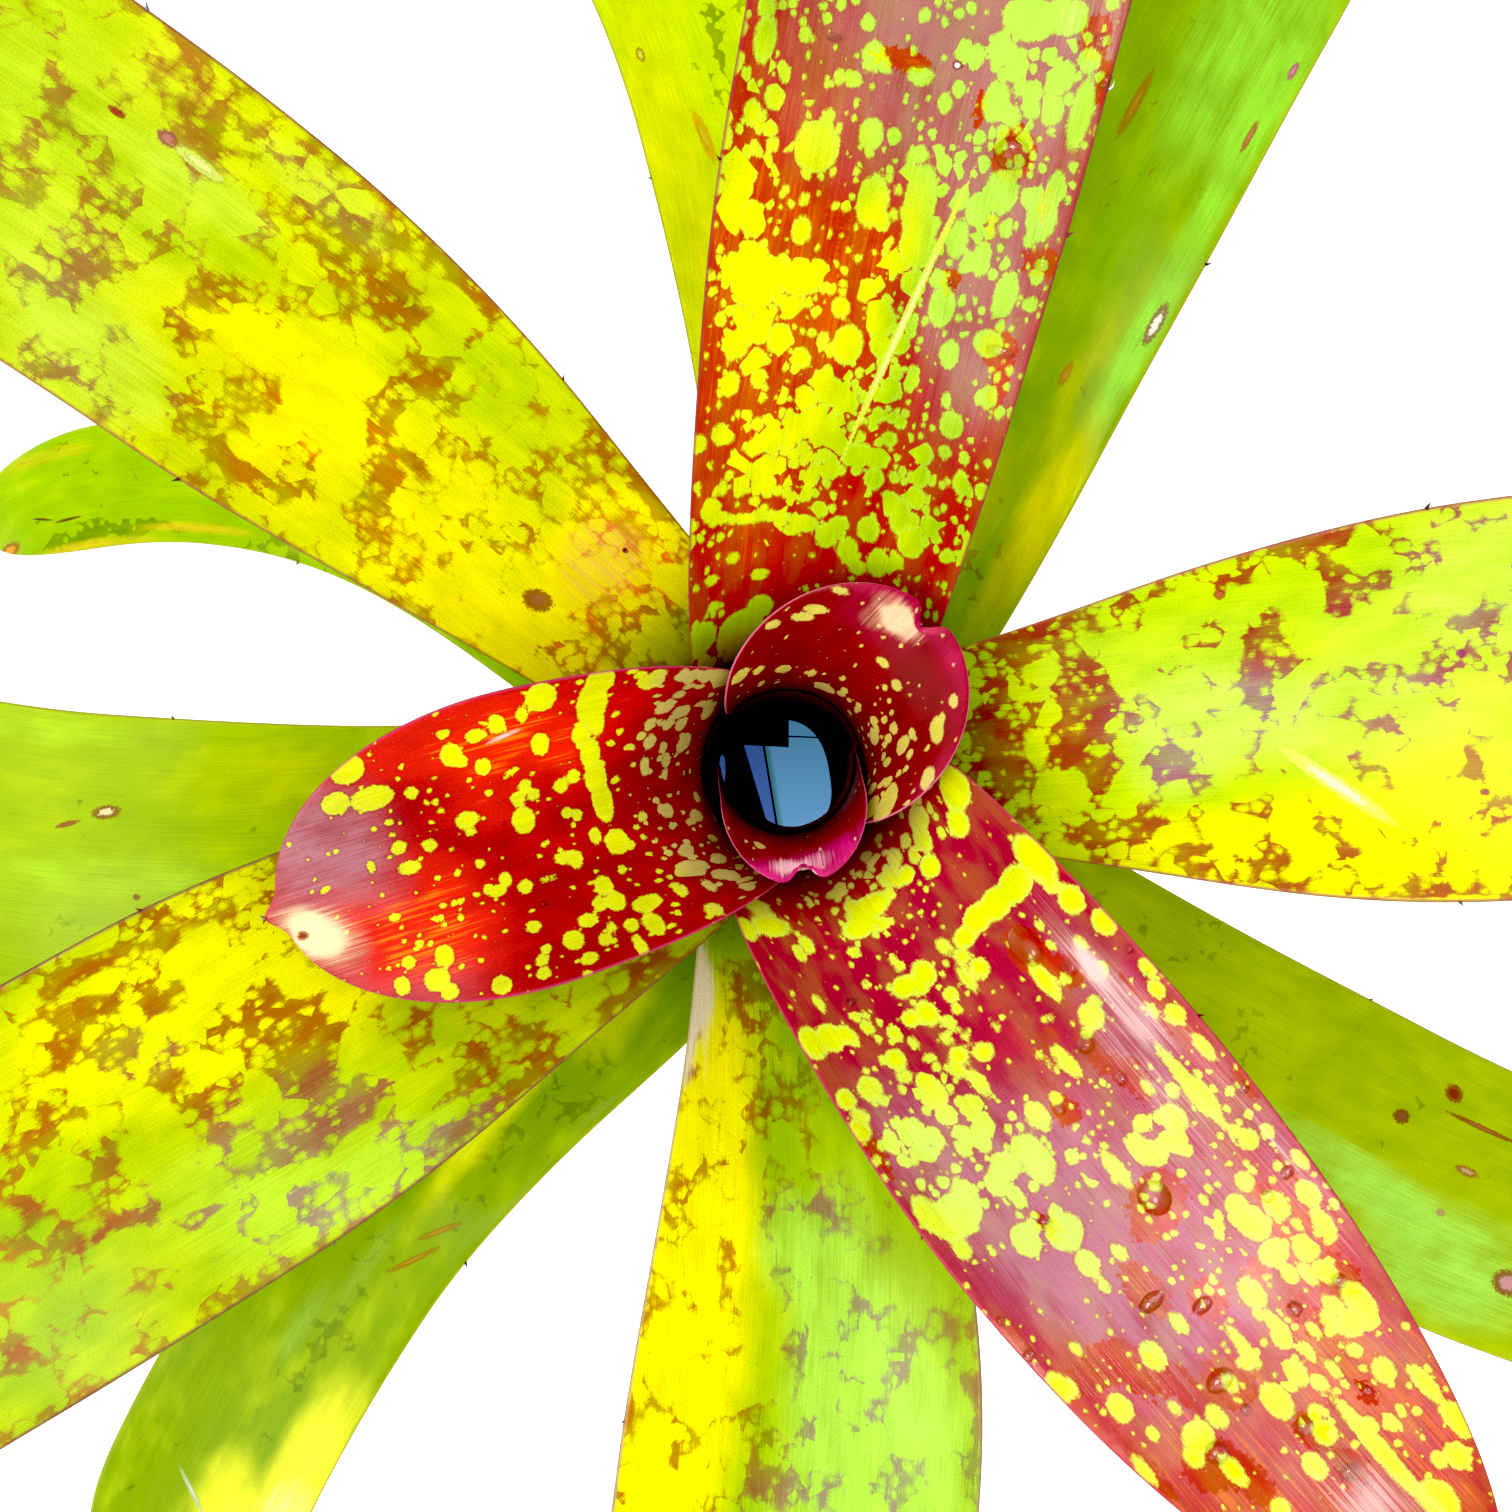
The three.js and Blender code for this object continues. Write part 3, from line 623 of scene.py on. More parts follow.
drift_across, drift_along, mottle = parts_of(skin["Drift"])
cloud, softness, wear = parts_of(skin["Weather"])
cloud = cloud - 0.5
mottle = mottle - 0.5
fibres = grain(FIBRE, 2.0, 1.9)
streaks = smooth(0.36, 0.68, grain(STREAK, 1.0, 29.0))
speckle = grain(SPECKLE, 1.0, 7.7)
wobble = grain(WOBBLE, 2.0, 5.3) - 0.5
fray = grain(FRAY, 2.0, 71.0) - 0.5
margin = smooth(0.80, 1.0, skin_u.math("ABSOLUTE"))
tone = skin["Tone"] + skin["Fade"] * (cloud * 0.4 - margin * 0.22)
wander = 0.9 + skin["Fade"] * 1.3
drift_x = (drift_across - 0.5) * wander
drift_s = (drift_along - 0.5) * wander


def spot_layer(cell, stretch, more, less, vary, shift):
    """Round spots, at most one in each cell; signed distance in mm, above 0 inside a spot."""
    at = vector(skin_tree, (skin_x + drift_x) / cell + skin["Seed"] * 1.37 + shift,
                (skin_s + drift_s) / (cell * stretch) + shift, 0.0)
    distance = add(skin_tree, "ShaderNodeTexVoronoi", at, named={"Scale": 1.0},
                   voronoi_dimensions="2D", feature="F1", out="Distance")
    chance = parts_of(other_output(distance, "Color"))[0]
    radius = tone * more - less + (chance - 0.5) * vary
    return (radius - distance) * cell


# Spots drawn on the leaf join those that its tone calls for, from big to small.
cover = spot_layer(BIG_CELL, 1.15, 1.45, 0.45 + skin["Fine"] * 0.45, 0.8, 0.0)
cover = cover.math("MAXIMUM", spot_layer(MIDDLE_CELL, 1.15, 1.35, 0.42, 0.9, 21.3))
cover = cover.math("MAXIMUM", spot_layer(SMALL_CELL, 1.2, 1.10, 0.34, 0.95, 47.9))
cover = cover.math("MAXIMUM", skin["Spots"]) + wobble * 0.75 + skin["Fade"] * 0.28
# On an ageing leaf the red fades: its blotches fray along the fibres and their edges blur.
cover = cover + (speckle - 0.5) * (0.35 + skin["Fade"] * 0.5) + skin["Fade"] * fray * 1.7
blur = 0.16 + skin["Fade"] * (0.35 + 0.65 * smooth(0.35, 0.7, softness))
spotted = smooth(-blur, blur, cover)
halo = skin["Halo"] * smooth(-0.6, 0.1, cover) * (1.0 - smooth(0.25, 1.1, cover))
worn = skin["Fade"] * smooth(0.38, 0.68, wear + fray * 0.15)

# Where drops have lain the bloom is washed off, and the wet skin shows deeper and warmer.
soaked = skin["Wet"] + wobble * smooth(0.05, 0.3, skin["Wet"])
wet = smooth(0.38, 0.50, soaked)
warmth = add(skin_tree, "ShaderNodeClamp",
             skin["Warm"] + cloud * 0.45 + mottle * 0.4 + wet * 0.35)
# The bloom is waxy bloom and also a painted sheen of reflected sky: mauve on red, mint on spots.
bloom = skin["Bloom"] * (0.85 + streaks * 0.25 + (fibres - 0.5) * 0.9 + cloud * 0.7 + mottle * 1.5)
bloom = add(skin_tree, "ShaderNodeClamp", bloom) * (1.0 - wet * 0.95)
ground = blend(skin["Ground"], skin["Thin ground"], skin["Fade"] * smooth(0.25, 0.70, tone))
ground = blend(blend(ground, skin["Warm ground"], warmth), skin["Bloom ground"], bloom)
# Where an old red is breaking down it turns orange, in streaks.
flame = skin["Flame"] * smooth(0.95, 1.5, skin["Warm"] + (streaks - 0.5) * 0.7 + mottle * 1.2)
ground = blend(ground, FLAME_ORANGE, flame)
scales = smooth(0.58, 0.70, speckle) * (0.05 + bloom * 0.30) * (1.0 - wet)
ground = blend(ground, skin["Bloom ground"], scales)
ground = blend(ground, scaled(skin["Warm ground"], 0.95), wet * 0.9)
ground = blend(ground, skin["Rim colour"], halo * 0.5)
spot_colour = blend(blend(skin["Spot"], skin["Warm spot"], warmth), skin["Bloom spot"], bloom)
spot_colour = blend(spot_colour, skin["Bloom spot"], halo * 0.45)
# Painted shade: spots deep in the cup are dulled to khaki.
spot_colour = blend(spot_colour, SHADE_KHAKI, smooth(0.0, 0.20, skin["Deep"]) * 0.75)
ground = blend(ground, scaled(spot_colour, 0.62), worn * 0.6)
colour = blend(ground, spot_colour, spotted)
streaked = 0.60 + streaks * 0.35 + (fibres - 0.5)
paled = skin["Pale"] * mix(streaked, 1.0, smooth(0.55, 0.85, skin["Pale"]))
pale = smooth(0.15, 0.95, paled)
colour = blend(colour, skin["Pale colour"], pale)
grit = smooth(0.56, 0.72, speckle) - smooth(0.44, 0.28, speckle)
shade = 0.76 + fibres * 0.34 + grit * 0.10 + cloud * 0.24 + mottle * 0.26 - wet * 0.06
# Painted shade: the colour darkens deep in the cup.
colour = scaled(colour, shade * (1.0 - skin["Deep"]) ** 1.4)
edge = smooth(0.975, 0.995, skin_u.math("ABSOLUTE"))
# The margin's own colour fades in the cup's painted shade.
colour = blend(colour, skin["Edge colour"], edge * (0.8 - smooth(0.0, 0.4, skin["Deep"]) * 0.5))
# The lower face is dusted with grey scurf.
scurf = skin["Under"] * (0.15 + smooth(0.35, 0.7, speckle) * 0.35)
blend(colour, SCURF_GREY, scurf).feed(skin_out.inputs["Color"])
roughness = 0.34 + fibres * 0.12 + pale * 0.2 + skin["Under"] * 0.15 - wet * 0.30
(roughness + skin["Deep"] * 0.2).feed(skin_out.inputs["Roughness"])
height = fibres * 0.055 + speckle * 0.022 + grain(RIDGE, 0.0, 41.0) * 0.07
height.feed(skin_out.inputs["Height"])

# A scar is an old injury: a corky cream heart in a brown-red rim, drawn out along the fibres.
# Drawn long and pale, the same mark also paints highlight streaks on some leaves.
scar_tree, scar, scar_out = new_group("scar", "ShaderNodeTree", [
    ("Place", VECTOR, None), ("Across", FLOAT, 0.0), ("Along", FLOAT, 0.0),
    ("Half across", FLOAT, 1.0), ("Half along", FLOAT, 2.0), ("Turn", FLOAT, 0.0),
], [("Heart", FLOAT), ("Rim", FLOAT)])
scar_x, scar_s, _ = parts_of(scar["Place"])
off_x, off_s = scar_x - scar["Across"], scar_s - scar["Along"]
cosine, sine = scar["Turn"].math("COSINE"), scar["Turn"].math("SINE")
from_side = (off_x * cosine - off_s * sine) / scar["Half across"]
from_end = (off_x * sine + off_s * cosine) / scar["Half along"]
ragged = add(scar_tree, "ShaderNodeTexNoise", scar["Place"], noise_dimensions="2D",
             named={"Scale": 1.6, "Detail": 2.0})
from_middle = (from_side * from_side + from_end * from_end).math("SQRT") + (ragged - 0.5) * 0.7
(1.0 - smooth(0.45, 0.62, from_middle)).feed(scar_out.inputs["Heart"])
scar_rim = (1.0 - smooth(0.85, 1.15, from_middle)) * smooth(0.40, 0.60, from_middle)
scar_rim.feed(scar_out.inputs["Rim"])


def ink(code):
    """A colour for a socket, from its hexadecimal sRGB code."""
    parts = [int(code[i:i + 2], 16) / 255 for i in (0, 2, 4)]
    return (*(c / 12.92 if c <= 0.04045 else ((c + 0.055) / 1.055) ** 2.4 for c in parts), 1.0)


def group_node(tree, group, **values):
    """Places a shader group with these values and returns its outputs by name."""
    node = tree.nodes.new("ShaderNodeGroup")
    node.node_tree = group
    for label, value in values.items():
        socket = node.inputs[label.replace("_", " ")]
        if isinstance(value, Wire):
            value.feed(socket)
        else:
            socket.default_value = value
    return {socket.name: Wire(tree, socket) for socket in node.outputs}


COAT, COAT_ROUGH = 0.07, 0.22
RELIEF, RELIEF_DEPTH = 0.8, 0.001
SCAR_RIM_COVER, SCAR_RIM_HEIGHT, SCAR_HEART_DEPTH = 0.85, 0.12, 0.15


def leaf_material(name, seed, ground, spot, edge, pale="F4DCA8", rim="8A1400", gloss=0.15, scars_and_highlights=(),
                  fade=0.0, thin="B06810", halo=0.0, fine=0.0, flame=0.0):
    """The skin of one leaf. ground and spot are each a plain, a warm and a bloomed colour, the
    bloomed one also a painted sheen; fade is how far the red has gone, and thin the colour it
    goes to. A scar, or a painted highlight streak drawn the same way, is given in mm by its
    place along and across, its half sizes, then its turn in degrees and its two colours."""
    material, tree, shader = new_material(name)

    def kept(label, out):
        return add(tree, "ShaderNodeAttribute", attribute_name=label, out=out)

    place = kept("leaf_place", "Vector")
    marks = {label: kept(label.lower(), "Fac")
             for label in ("Tone", "Spots", "Warm", "Bloom", "Pale", "Under", "Deep", "Wet")}
    looks = group_node(
        tree, skin_tree, Place=place, Seed=seed * 7.31, **marks, Ground=ink(ground[0]),
        Warm_ground=ink(ground[1]), Bloom_ground=ink(ground[2]), Spot=ink(spot[0]),
        Warm_spot=ink(spot[1]), Bloom_spot=ink(spot[2]), Pale_colour=ink(pale),
        Rim_colour=ink(rim), Edge_colour=ink(edge), Thin_ground=ink(thin), Fade=fade, Halo=halo,
        Fine=fine, Flame=flame, Drift=kept("drift", "Vector"), Weather=kept("weather", "Vector"))
    colour, bump = looks["Color"], looks["Height"]
    for at_s, at_x, half_s, half_x, turn, rim_code, heart_code in scars_and_highlights:
        drawn_mark = group_node(tree, scar_tree, Place=place, Across=at_x, Along=at_s,
                           Half_across=half_x, Half_along=half_s, Turn=math.radians(turn))
        colour = blend(colour, ink(rim_code), drawn_mark["Rim"] * SCAR_RIM_COVER)
        colour = blend(colour, ink(heart_code), drawn_mark["Heart"])
        bump = bump + drawn_mark["Rim"] * SCAR_RIM_HEIGHT - drawn_mark["Heart"] * SCAR_HEART_DEPTH
    colour.feed(shader.inputs["Base Color"])
    looks["Roughness"].feed(shader.inputs["Roughness"])
    relief = add(tree, "ShaderNodeBump",
                 named={"Strength": RELIEF, "Distance": RELIEF_DEPTH, "Height": bump})
    relief.feed(shader.inputs["Normal"])
    shader.inputs["Specular IOR Level"].default_value = gloss
    shader.inputs["Coat Weight"].default_value = COAT
    shader.inputs["Coat Roughness"].default_value = COAT_ROUGH
    return material


def on_points(mesh, name):
    """A field kept on a mesh's points, with one row for each of its parts."""
    field = mesh.attributes[name]
    width, key = (3, "vector") if field.data_type == "FLOAT_VECTOR" else (1, "value")
    values = np.empty(len(mesh.vertices) * width, np.float32)
    field.data.foreach_get(key, values)
    return values.reshape(-1, width).T


def keep_on_points(mesh, name, values):
    mesh.attributes.new(name, "FLOAT", "POINT").data.foreach_set("value", values)


def brush(mesh, name, base, strokes, most=9.0):
    """Keeps a soft field on a leaf: base, and a stroke at each place along and across it, with
    half sizes both ways, all in mm, and a strength. It goes no higher than most."""
    across, along, _ = on_points(mesh, "leaf_place")
    field = np.full(len(along), base, np.float32)
    for at_s, at_x, half_s, half_x, strength in strokes:
        away = ((along - at_s) / half_s) ** 2 + ((across - at_x) / half_x) ** 2
        field += strength * np.exp(-0.7 * away ** 2)
    keep_on_points(mesh, name, np.minimum(field, most))


def dot(mesh, spots):
    """Keeps how deep each point lies inside the nearest big spot, in mm, down to -3 outside. A
    spot is given by its place along and across the leaf and its half sizes both ways."""
    across, along, _ = on_points(mesh, "leaf_place")
    depth = np.full(len(along), -3.0, np.float32)
    for at_s, at_x, half_s, half_x in spots:
        away = np.sqrt(((along - at_s) / half_s) ** 2 + ((across - at_x) / half_x) ** 2)
        depth = np.maximum(depth, min(half_s, half_x) * (1 - away))
    keep_on_points(mesh, "spots", depth)


# Painted shade: the leaves' colour darkens down the cup, from its lip to the water,
# and a little way out from its mouth.
CUP_LIP_Z, CUP_DARK_Z = 0.137, 0.101
CUP_R, DIM_R, CUP_BLUR = 0.034, 0.036, 0.008


def paint_cup_shade(mesh, dark_z, dimmed):
    """Keeps how far each inner face lies in the cup's painted shade: 0 in the open, 1 at the water."""
    x, y, z = on_points(mesh, "position")
    lower = on_points(mesh, "under")[0]
    from_axis = np.hypot(x, y)
    down = np.clip((CUP_LIP_Z - z) / (CUP_LIP_Z - dark_z), 0, 1)
    within = np.clip((CUP_R - from_axis) / CUP_BLUR, 0, 1)
    shade_round_mouth = dimmed * np.clip((DIM_R - from_axis) / CUP_BLUR, 0, 1)
    keep_on_points(mesh, "deep", np.maximum(down * within, shade_round_mouth) * (1 - lower))


def spine_skin(name, code):
    """Horny brown-red points, flecked with a darker red."""
    material, tree, shader = new_material(name)
    here = add(tree, "ShaderNodeTexCoord", out="Object")
    fleck = add(tree, "ShaderNodeTexNoise", here, named={"Scale": 900.0, "Detail": 1.0})
    blend(ink(code), ink("2A0606"), fleck).feed(shader.inputs["Base Color"])
    shader.inputs["Roughness"].default_value = 0.35
    return material


def grow(name, slot, sizes, material, spines, rows, columns, seed, tone=(0.5, ()), spots=(),
         warm=(0.0, ()), bloom=(0.0, ()), pale=(0.0, ()), wet=(0.0, ()), wave=WAVE,
         dark_z=CUP_DARK_Z, dimmed=0.0):
    """Grows the leaf that takes a solid's place. Each of tone, warm, bloom, pale and wet is the
    base and the strokes of a soft field: how spotted the leaf is, how warm in colour, how far
    covered with mauve bloom, which also paints the sheen of reflected sky, how pale, which on
    some leaves paints a highlight, and how wet."""
    piece = made_by(leaf_tree, name + "_skin", {
        **sizes, "Channel": CHANNEL, "Wave": wave, "Wave length": WAVE_LENGTH,
        "Phase": seed * 1.7, "Rows": rows, "Columns": columns, "Spine spacing": SPINE_SPACING,
        "Seed": seed, "Leaf material": material, "Spine material": spines,
    })
    fields = {"tone": tone, "warm": warm, "bloom": bloom, "pale": pale, "wet": wet}
    for label, (base, strokes, *most) in fields.items():
        brush(piece.data, label, base, strokes, *most)
    dot(piece.data, spots)
    paint_cup_shade(piece.data, dark_z, dimmed)
    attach(piece, "root")
    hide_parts(name)
    return piece


# leaf_01 and leaf_02, the two youngest, grown from the very top of the stock: short hoods that
# stand round the mouth of the cup, one wrapped in the other. Soft tissue, ruby all through,
# with a magenta rim, a pale nick at the tip and few spots.
ruby_spines = spine_skin("ruby_spine", "7A0A20")
RUBY = ("7C0002", "980004", "B01444")
inner_hood = grow(
    "leaf_01", "red_leaf",
    leaf_sizes(
        layer=0, azimuth=278, sweep=-2, length=109, neck=118, rise=60, tip_rise=20, neck_half=26.5,
        blade_half=20.5, tip=17, hood=True),
    leaf_material(
        "inner_hood", seed=1, ground=("80000C", "9C0018", "C82470"),
        spot=("C8B050", "D8C030", "E0B8B0"), edge="D86890", pale="F8BCC4", halo=0.5),
    ruby_spines, rows=150, columns=60, seed=1, tone=(0.04, ()), warm=(0.2, ()), wave=0.0,
    dark_z=0.119, spots=[(100.5, -9.2, 1.0, 1.3)],
    bloom=(0.0, [(107, 6, 5, 13, 1.0), (108, -8, 2.5, 8, 0.7)]),
    pale=(0.0, [(105.2, -3.5, 2.4, 3.8, 0.80), (104.6, 3.5, 2.4, 3.6, 0.62)]))

outer_hood = grow(
    "leaf_02", "red_leaf",
    leaf_sizes(
        layer=1, azimuth=47, sweep=-2, length=128, neck=118, rise=42, tip_rise=12, neck_half=28,
        blade_half=31, tip=24, hood=True),
    leaf_material(
        "outer_hood", seed=2, ground=RUBY, spot=("C8B850", "E0E000", "D8B080"), edge="E87898",
        pale="FCCCA0", halo=0.5, fine=0.4),
    ruby_spines, rows=170, columns=80, seed=2,
    tone=(0.05, [(98, -14, 9, 26, 0.22), (104, -20, 8, 12, 0.12)]),
    warm=(0.1, [(118, 0, 10, 30, 0.4)]), wave=0.0,
    spots=[
        (117, 19.5, 1.0, 2.6), (115, 21, 1.0, 2.4), (113.3, 26, 0.9, 1.5), (122, 18, 0.8, 1.8),
        (112.8, 0.5, 1.0, 1.5), (109, -3.5, 0.7, 0.8), (111.5, -5, 1.1, 1.4),
        (115.5, -18.5, 1.6, 2.6), (120.7, -16, 1.0, 1.4), (109.8, -15.3, 0.9, 1.2),
        (117.3, -17, 0.7, 1.0), (101.5, 17, 1.4, 1.7), (103, 27.5, 1.6, 2.0), (102.6, 23, 1.2, 1.2),
        (97, 20.5, 1.4, 0.8), (101, 10.5, 1.5, 0.9), (97, 6, 2.0, 2.5), (112.5, -26.5, 1.5, 2.2),
        (117, -29, 3, 1.5), (104, -27, 2.2, 4.5), (98.5, -2.8, 1.8, 0.8), (101, -8, 0.9, 2.0)
    ],
    bloom=(0.0, [
        (127, 2, 4, 24, 0.9), (123, -18, 4, 9, 0.3), (118, -28, 9, 4, 0.4), (120, 8, 5, 9, 0.3)
    ]),
    pale=(0.0, [(122, 2.5, 3.4, 4.5, 0.80), (119.5, 8, 3, 4, 0.45), (124, 8, 2.5, 4.5, 0.5)]))

# leaf_03, leaf_04 and leaf_05: firm crimson straps, wrapped by their sheaths round the hoods,
# with yellow-green spots that run together into bands. Toward the tips a waxy bloom, with a
# painted sheen of reflected sky, turns the red mauve and the spots mint, and drops of water have
# washed it off in places.
crimson_spines = spine_skin("crimson_spine", "8A1018")
short_leaf = grow(
    "leaf_03", "red_leaf",
    leaf_sizes(
        layer=2, azimuth=195, sweep=3, length=190, neck=111, rise=27, tip_rise=6, neck_half=31.5,
        blade_half=31, tip=55),
    leaf_material(
        "short_red_leaf", seed=3, ground=("A40008", "F0260A", "B4727A"),
        spot=("D4D810", "F4F600", "DCE030"), edge="C83868", pale="FCE4B0", gloss=0.2, halo=1.0,
        flame=1.0,
        scars_and_highlights=[
            (187, 5.5, 1.2, 0.9, 0, "B05010", "8A3A10"),
            (139, -21.5, 3.2, 0.5, 10, "E8B0A0", "F0D0C0")
        ]),
    crimson_spines, rows=230, columns=72, seed=3, dimmed=0.22,
    tone=(0.10, [
        (104, 0, 14, 34, 0.14), (112, 24, 10, 9, 0.10), (108, -12, 8, 12, 0.12),
        (108, -28, 10, 5, 0.25), (160, 9, 14, 2, 0.15)
    ]),
    warm=(0.05, [
        (140, -12, 14, 10, 0.4), (160, 14, 13, 12, 0.55), (150, -24, 22, 7, 0.5),
        (125, -14, 6, 8, 0.3), (166, 2, 12, 8, 0.4), (132, -22, 22, 8, 0.4), (178, 10, 9, 12, 0.5),
        (164, 16, 8, 6, 0.55)
    ]),
    bloom=(0.0, [
        (178, -10, 11, 11, 0.9), (168, 24, 10, 6, 0.25), (170, 0, 6, 6, 0.35), (183, 14, 6, 12, 0.3)
    ]),
    pale=(0.0, [
        (184, 6, 5, 5, 0.45), (182, 7, 7.5, 7.5, 0.35), (179, 12, 6, 5, 0.25), (187, 2, 4, 6, 0.35)
    ]),
    spots=[
        (122, -3, 2.2, 4.5), (122.5, -8, 2.3, 3.5), (123, -13.5, 2, 3.5), (124.5, -18, 1.8, 2.5),
        (121.5, -19.5, 1.5, 2.5), (122.5, -24, 2.7, 5), (121.5, -29, 2.3, 3), (121.5, 6, 2.5, 2.8),
        (125.5, 3.5, 1.3, 1.8), (131, 7, 1.6, 2), (133.5, 6, 1.8, 1.4), (142.5, 9.5, 1.6, 1.4),
        (137.5, 9.3, 1.8, 0.6), (146, 7, 1.4, 1.6), (121.5, 20.5, 2.8, 1.8), (122.5, 25.5, 1.6, 3),
        (126, 24, 1.3, 1.6), (126.5, 29, 1, 2.8), (131.5, 25, 1.2, 1.4), (129.5, 23, 0.9, 1.3),
        (135.5, 27.7, 1.7, 1.3), (137, 23, 2, 2.1), (133, 20, 2.1, 1.5), (129.5, 17.5, 1.6, 1.5),
        (126.5, 18, 1.9, 2.1), (127.5, 14, 1.8, 2.2), (144.5, 27.5, 1.5, 1.2), (144, 25, 1.4, 1.1),
        (142.5, 23, 1.1, 1), (143.5, 17.8, 1.6, 1.3), (153, 27, 2, 1.9), (163, 25, 1.8, 1.6),
        (164.7, 22, 2.6, 2.3), (162, 18, 1.9, 2.3), (171.5, 21, 1.6, 1.9), (169, 17, 1.4, 1.3),
        (166, 14.2, 1, 0.8), (122.7, 12, 1, 1), (128, -1.7, 1.1, 1.3), (130, -2.8, 1.2, 1.2),
        (139, -3.7, 2.4, 2.8), (130, -8.5, 1.5, 1.5), (127, -9.7, 1.5, 1.5),
        (135.8, -8.3, 1.4, 1.3), (137, -10.5, 1.3, 1.2), (139, -8.4, 1.6, 1.4), (150, -7, 2.5, 1.6),
        (150, -4.5, 1.3, 0.9), (163.5, -1, 2.2, 1.4), (158.5, -4.2, 1.5, 1.3),
        (164.3, -5.5, 1.6, 1.3), (170.5, -3.5, 0.9, 1.2), (144.2, -16.5, 1.7, 1.7),
        (140, -13.5, 0.9, 0.6), (138.4, -14.3, 1, 0.7), (132.5, -18, 1.8, 2.4),
        (149.5, -20.5, 2.2, 2.4), (148, -18.7, 1.4, 1.3), (144, -23, 2.1, 1.4),
        (139.8, -24.3, 1.6, 2), (135, -25, 1.1, 1.7), (131.3, -27.7, 2.7, 3), (150, -25, 1.3, 1),
        (159, -15.3, 1.4, 1.3), (155, -12.2, 0.8, 0.7), (166.5, -16.5, 4.2, 2.4),
        (173.3, -17.5, 2.8, 2.2), (169.5, -23.5, 3.4, 3.0), (150, 2.3, 1.1, 0.9),
        (113.5, 28, 1.2, 2), (115, 20.5, 1.1, 1.8), (106, 22, 1.5, 2), (106.7, 27, 1, 1.8),
        (110.5, 22, 0.8, 2), (108.5, 14, 0.9, 1.1), (109.3, 2, 1.1, 1.3), (106.5, -5, 1, 1),
        (106, -8, 1.3, 1.6), (101.5, -10.5, 1.8, 1.6), (107, -11, 1.1, 1.5), (111.5, -8, 1.1, 2),
        (110.5, -13, 1.5, 1.5), (103.5, -15.7, 1.5, 1.6), (107, -16.3, 1.3, 1.4),
        (105, -19, 2.2, 1.6), (111, -17, 1.2, 1.6), (105, -29, 2, 1.8), (108.5, -28.5, 1.6, 1.5),
        (113.5, -27.5, 2.1, 1.9), (96, -18, 2.5, 1.8), (98, -20, 2, 1), (92, -25, 2.2, 1.2),
        (96.5, -27, 1.5, 2), (100, 5.5, 2.5, 1.5), (96.5, 1.5, 1.5, 1.3)
    ])

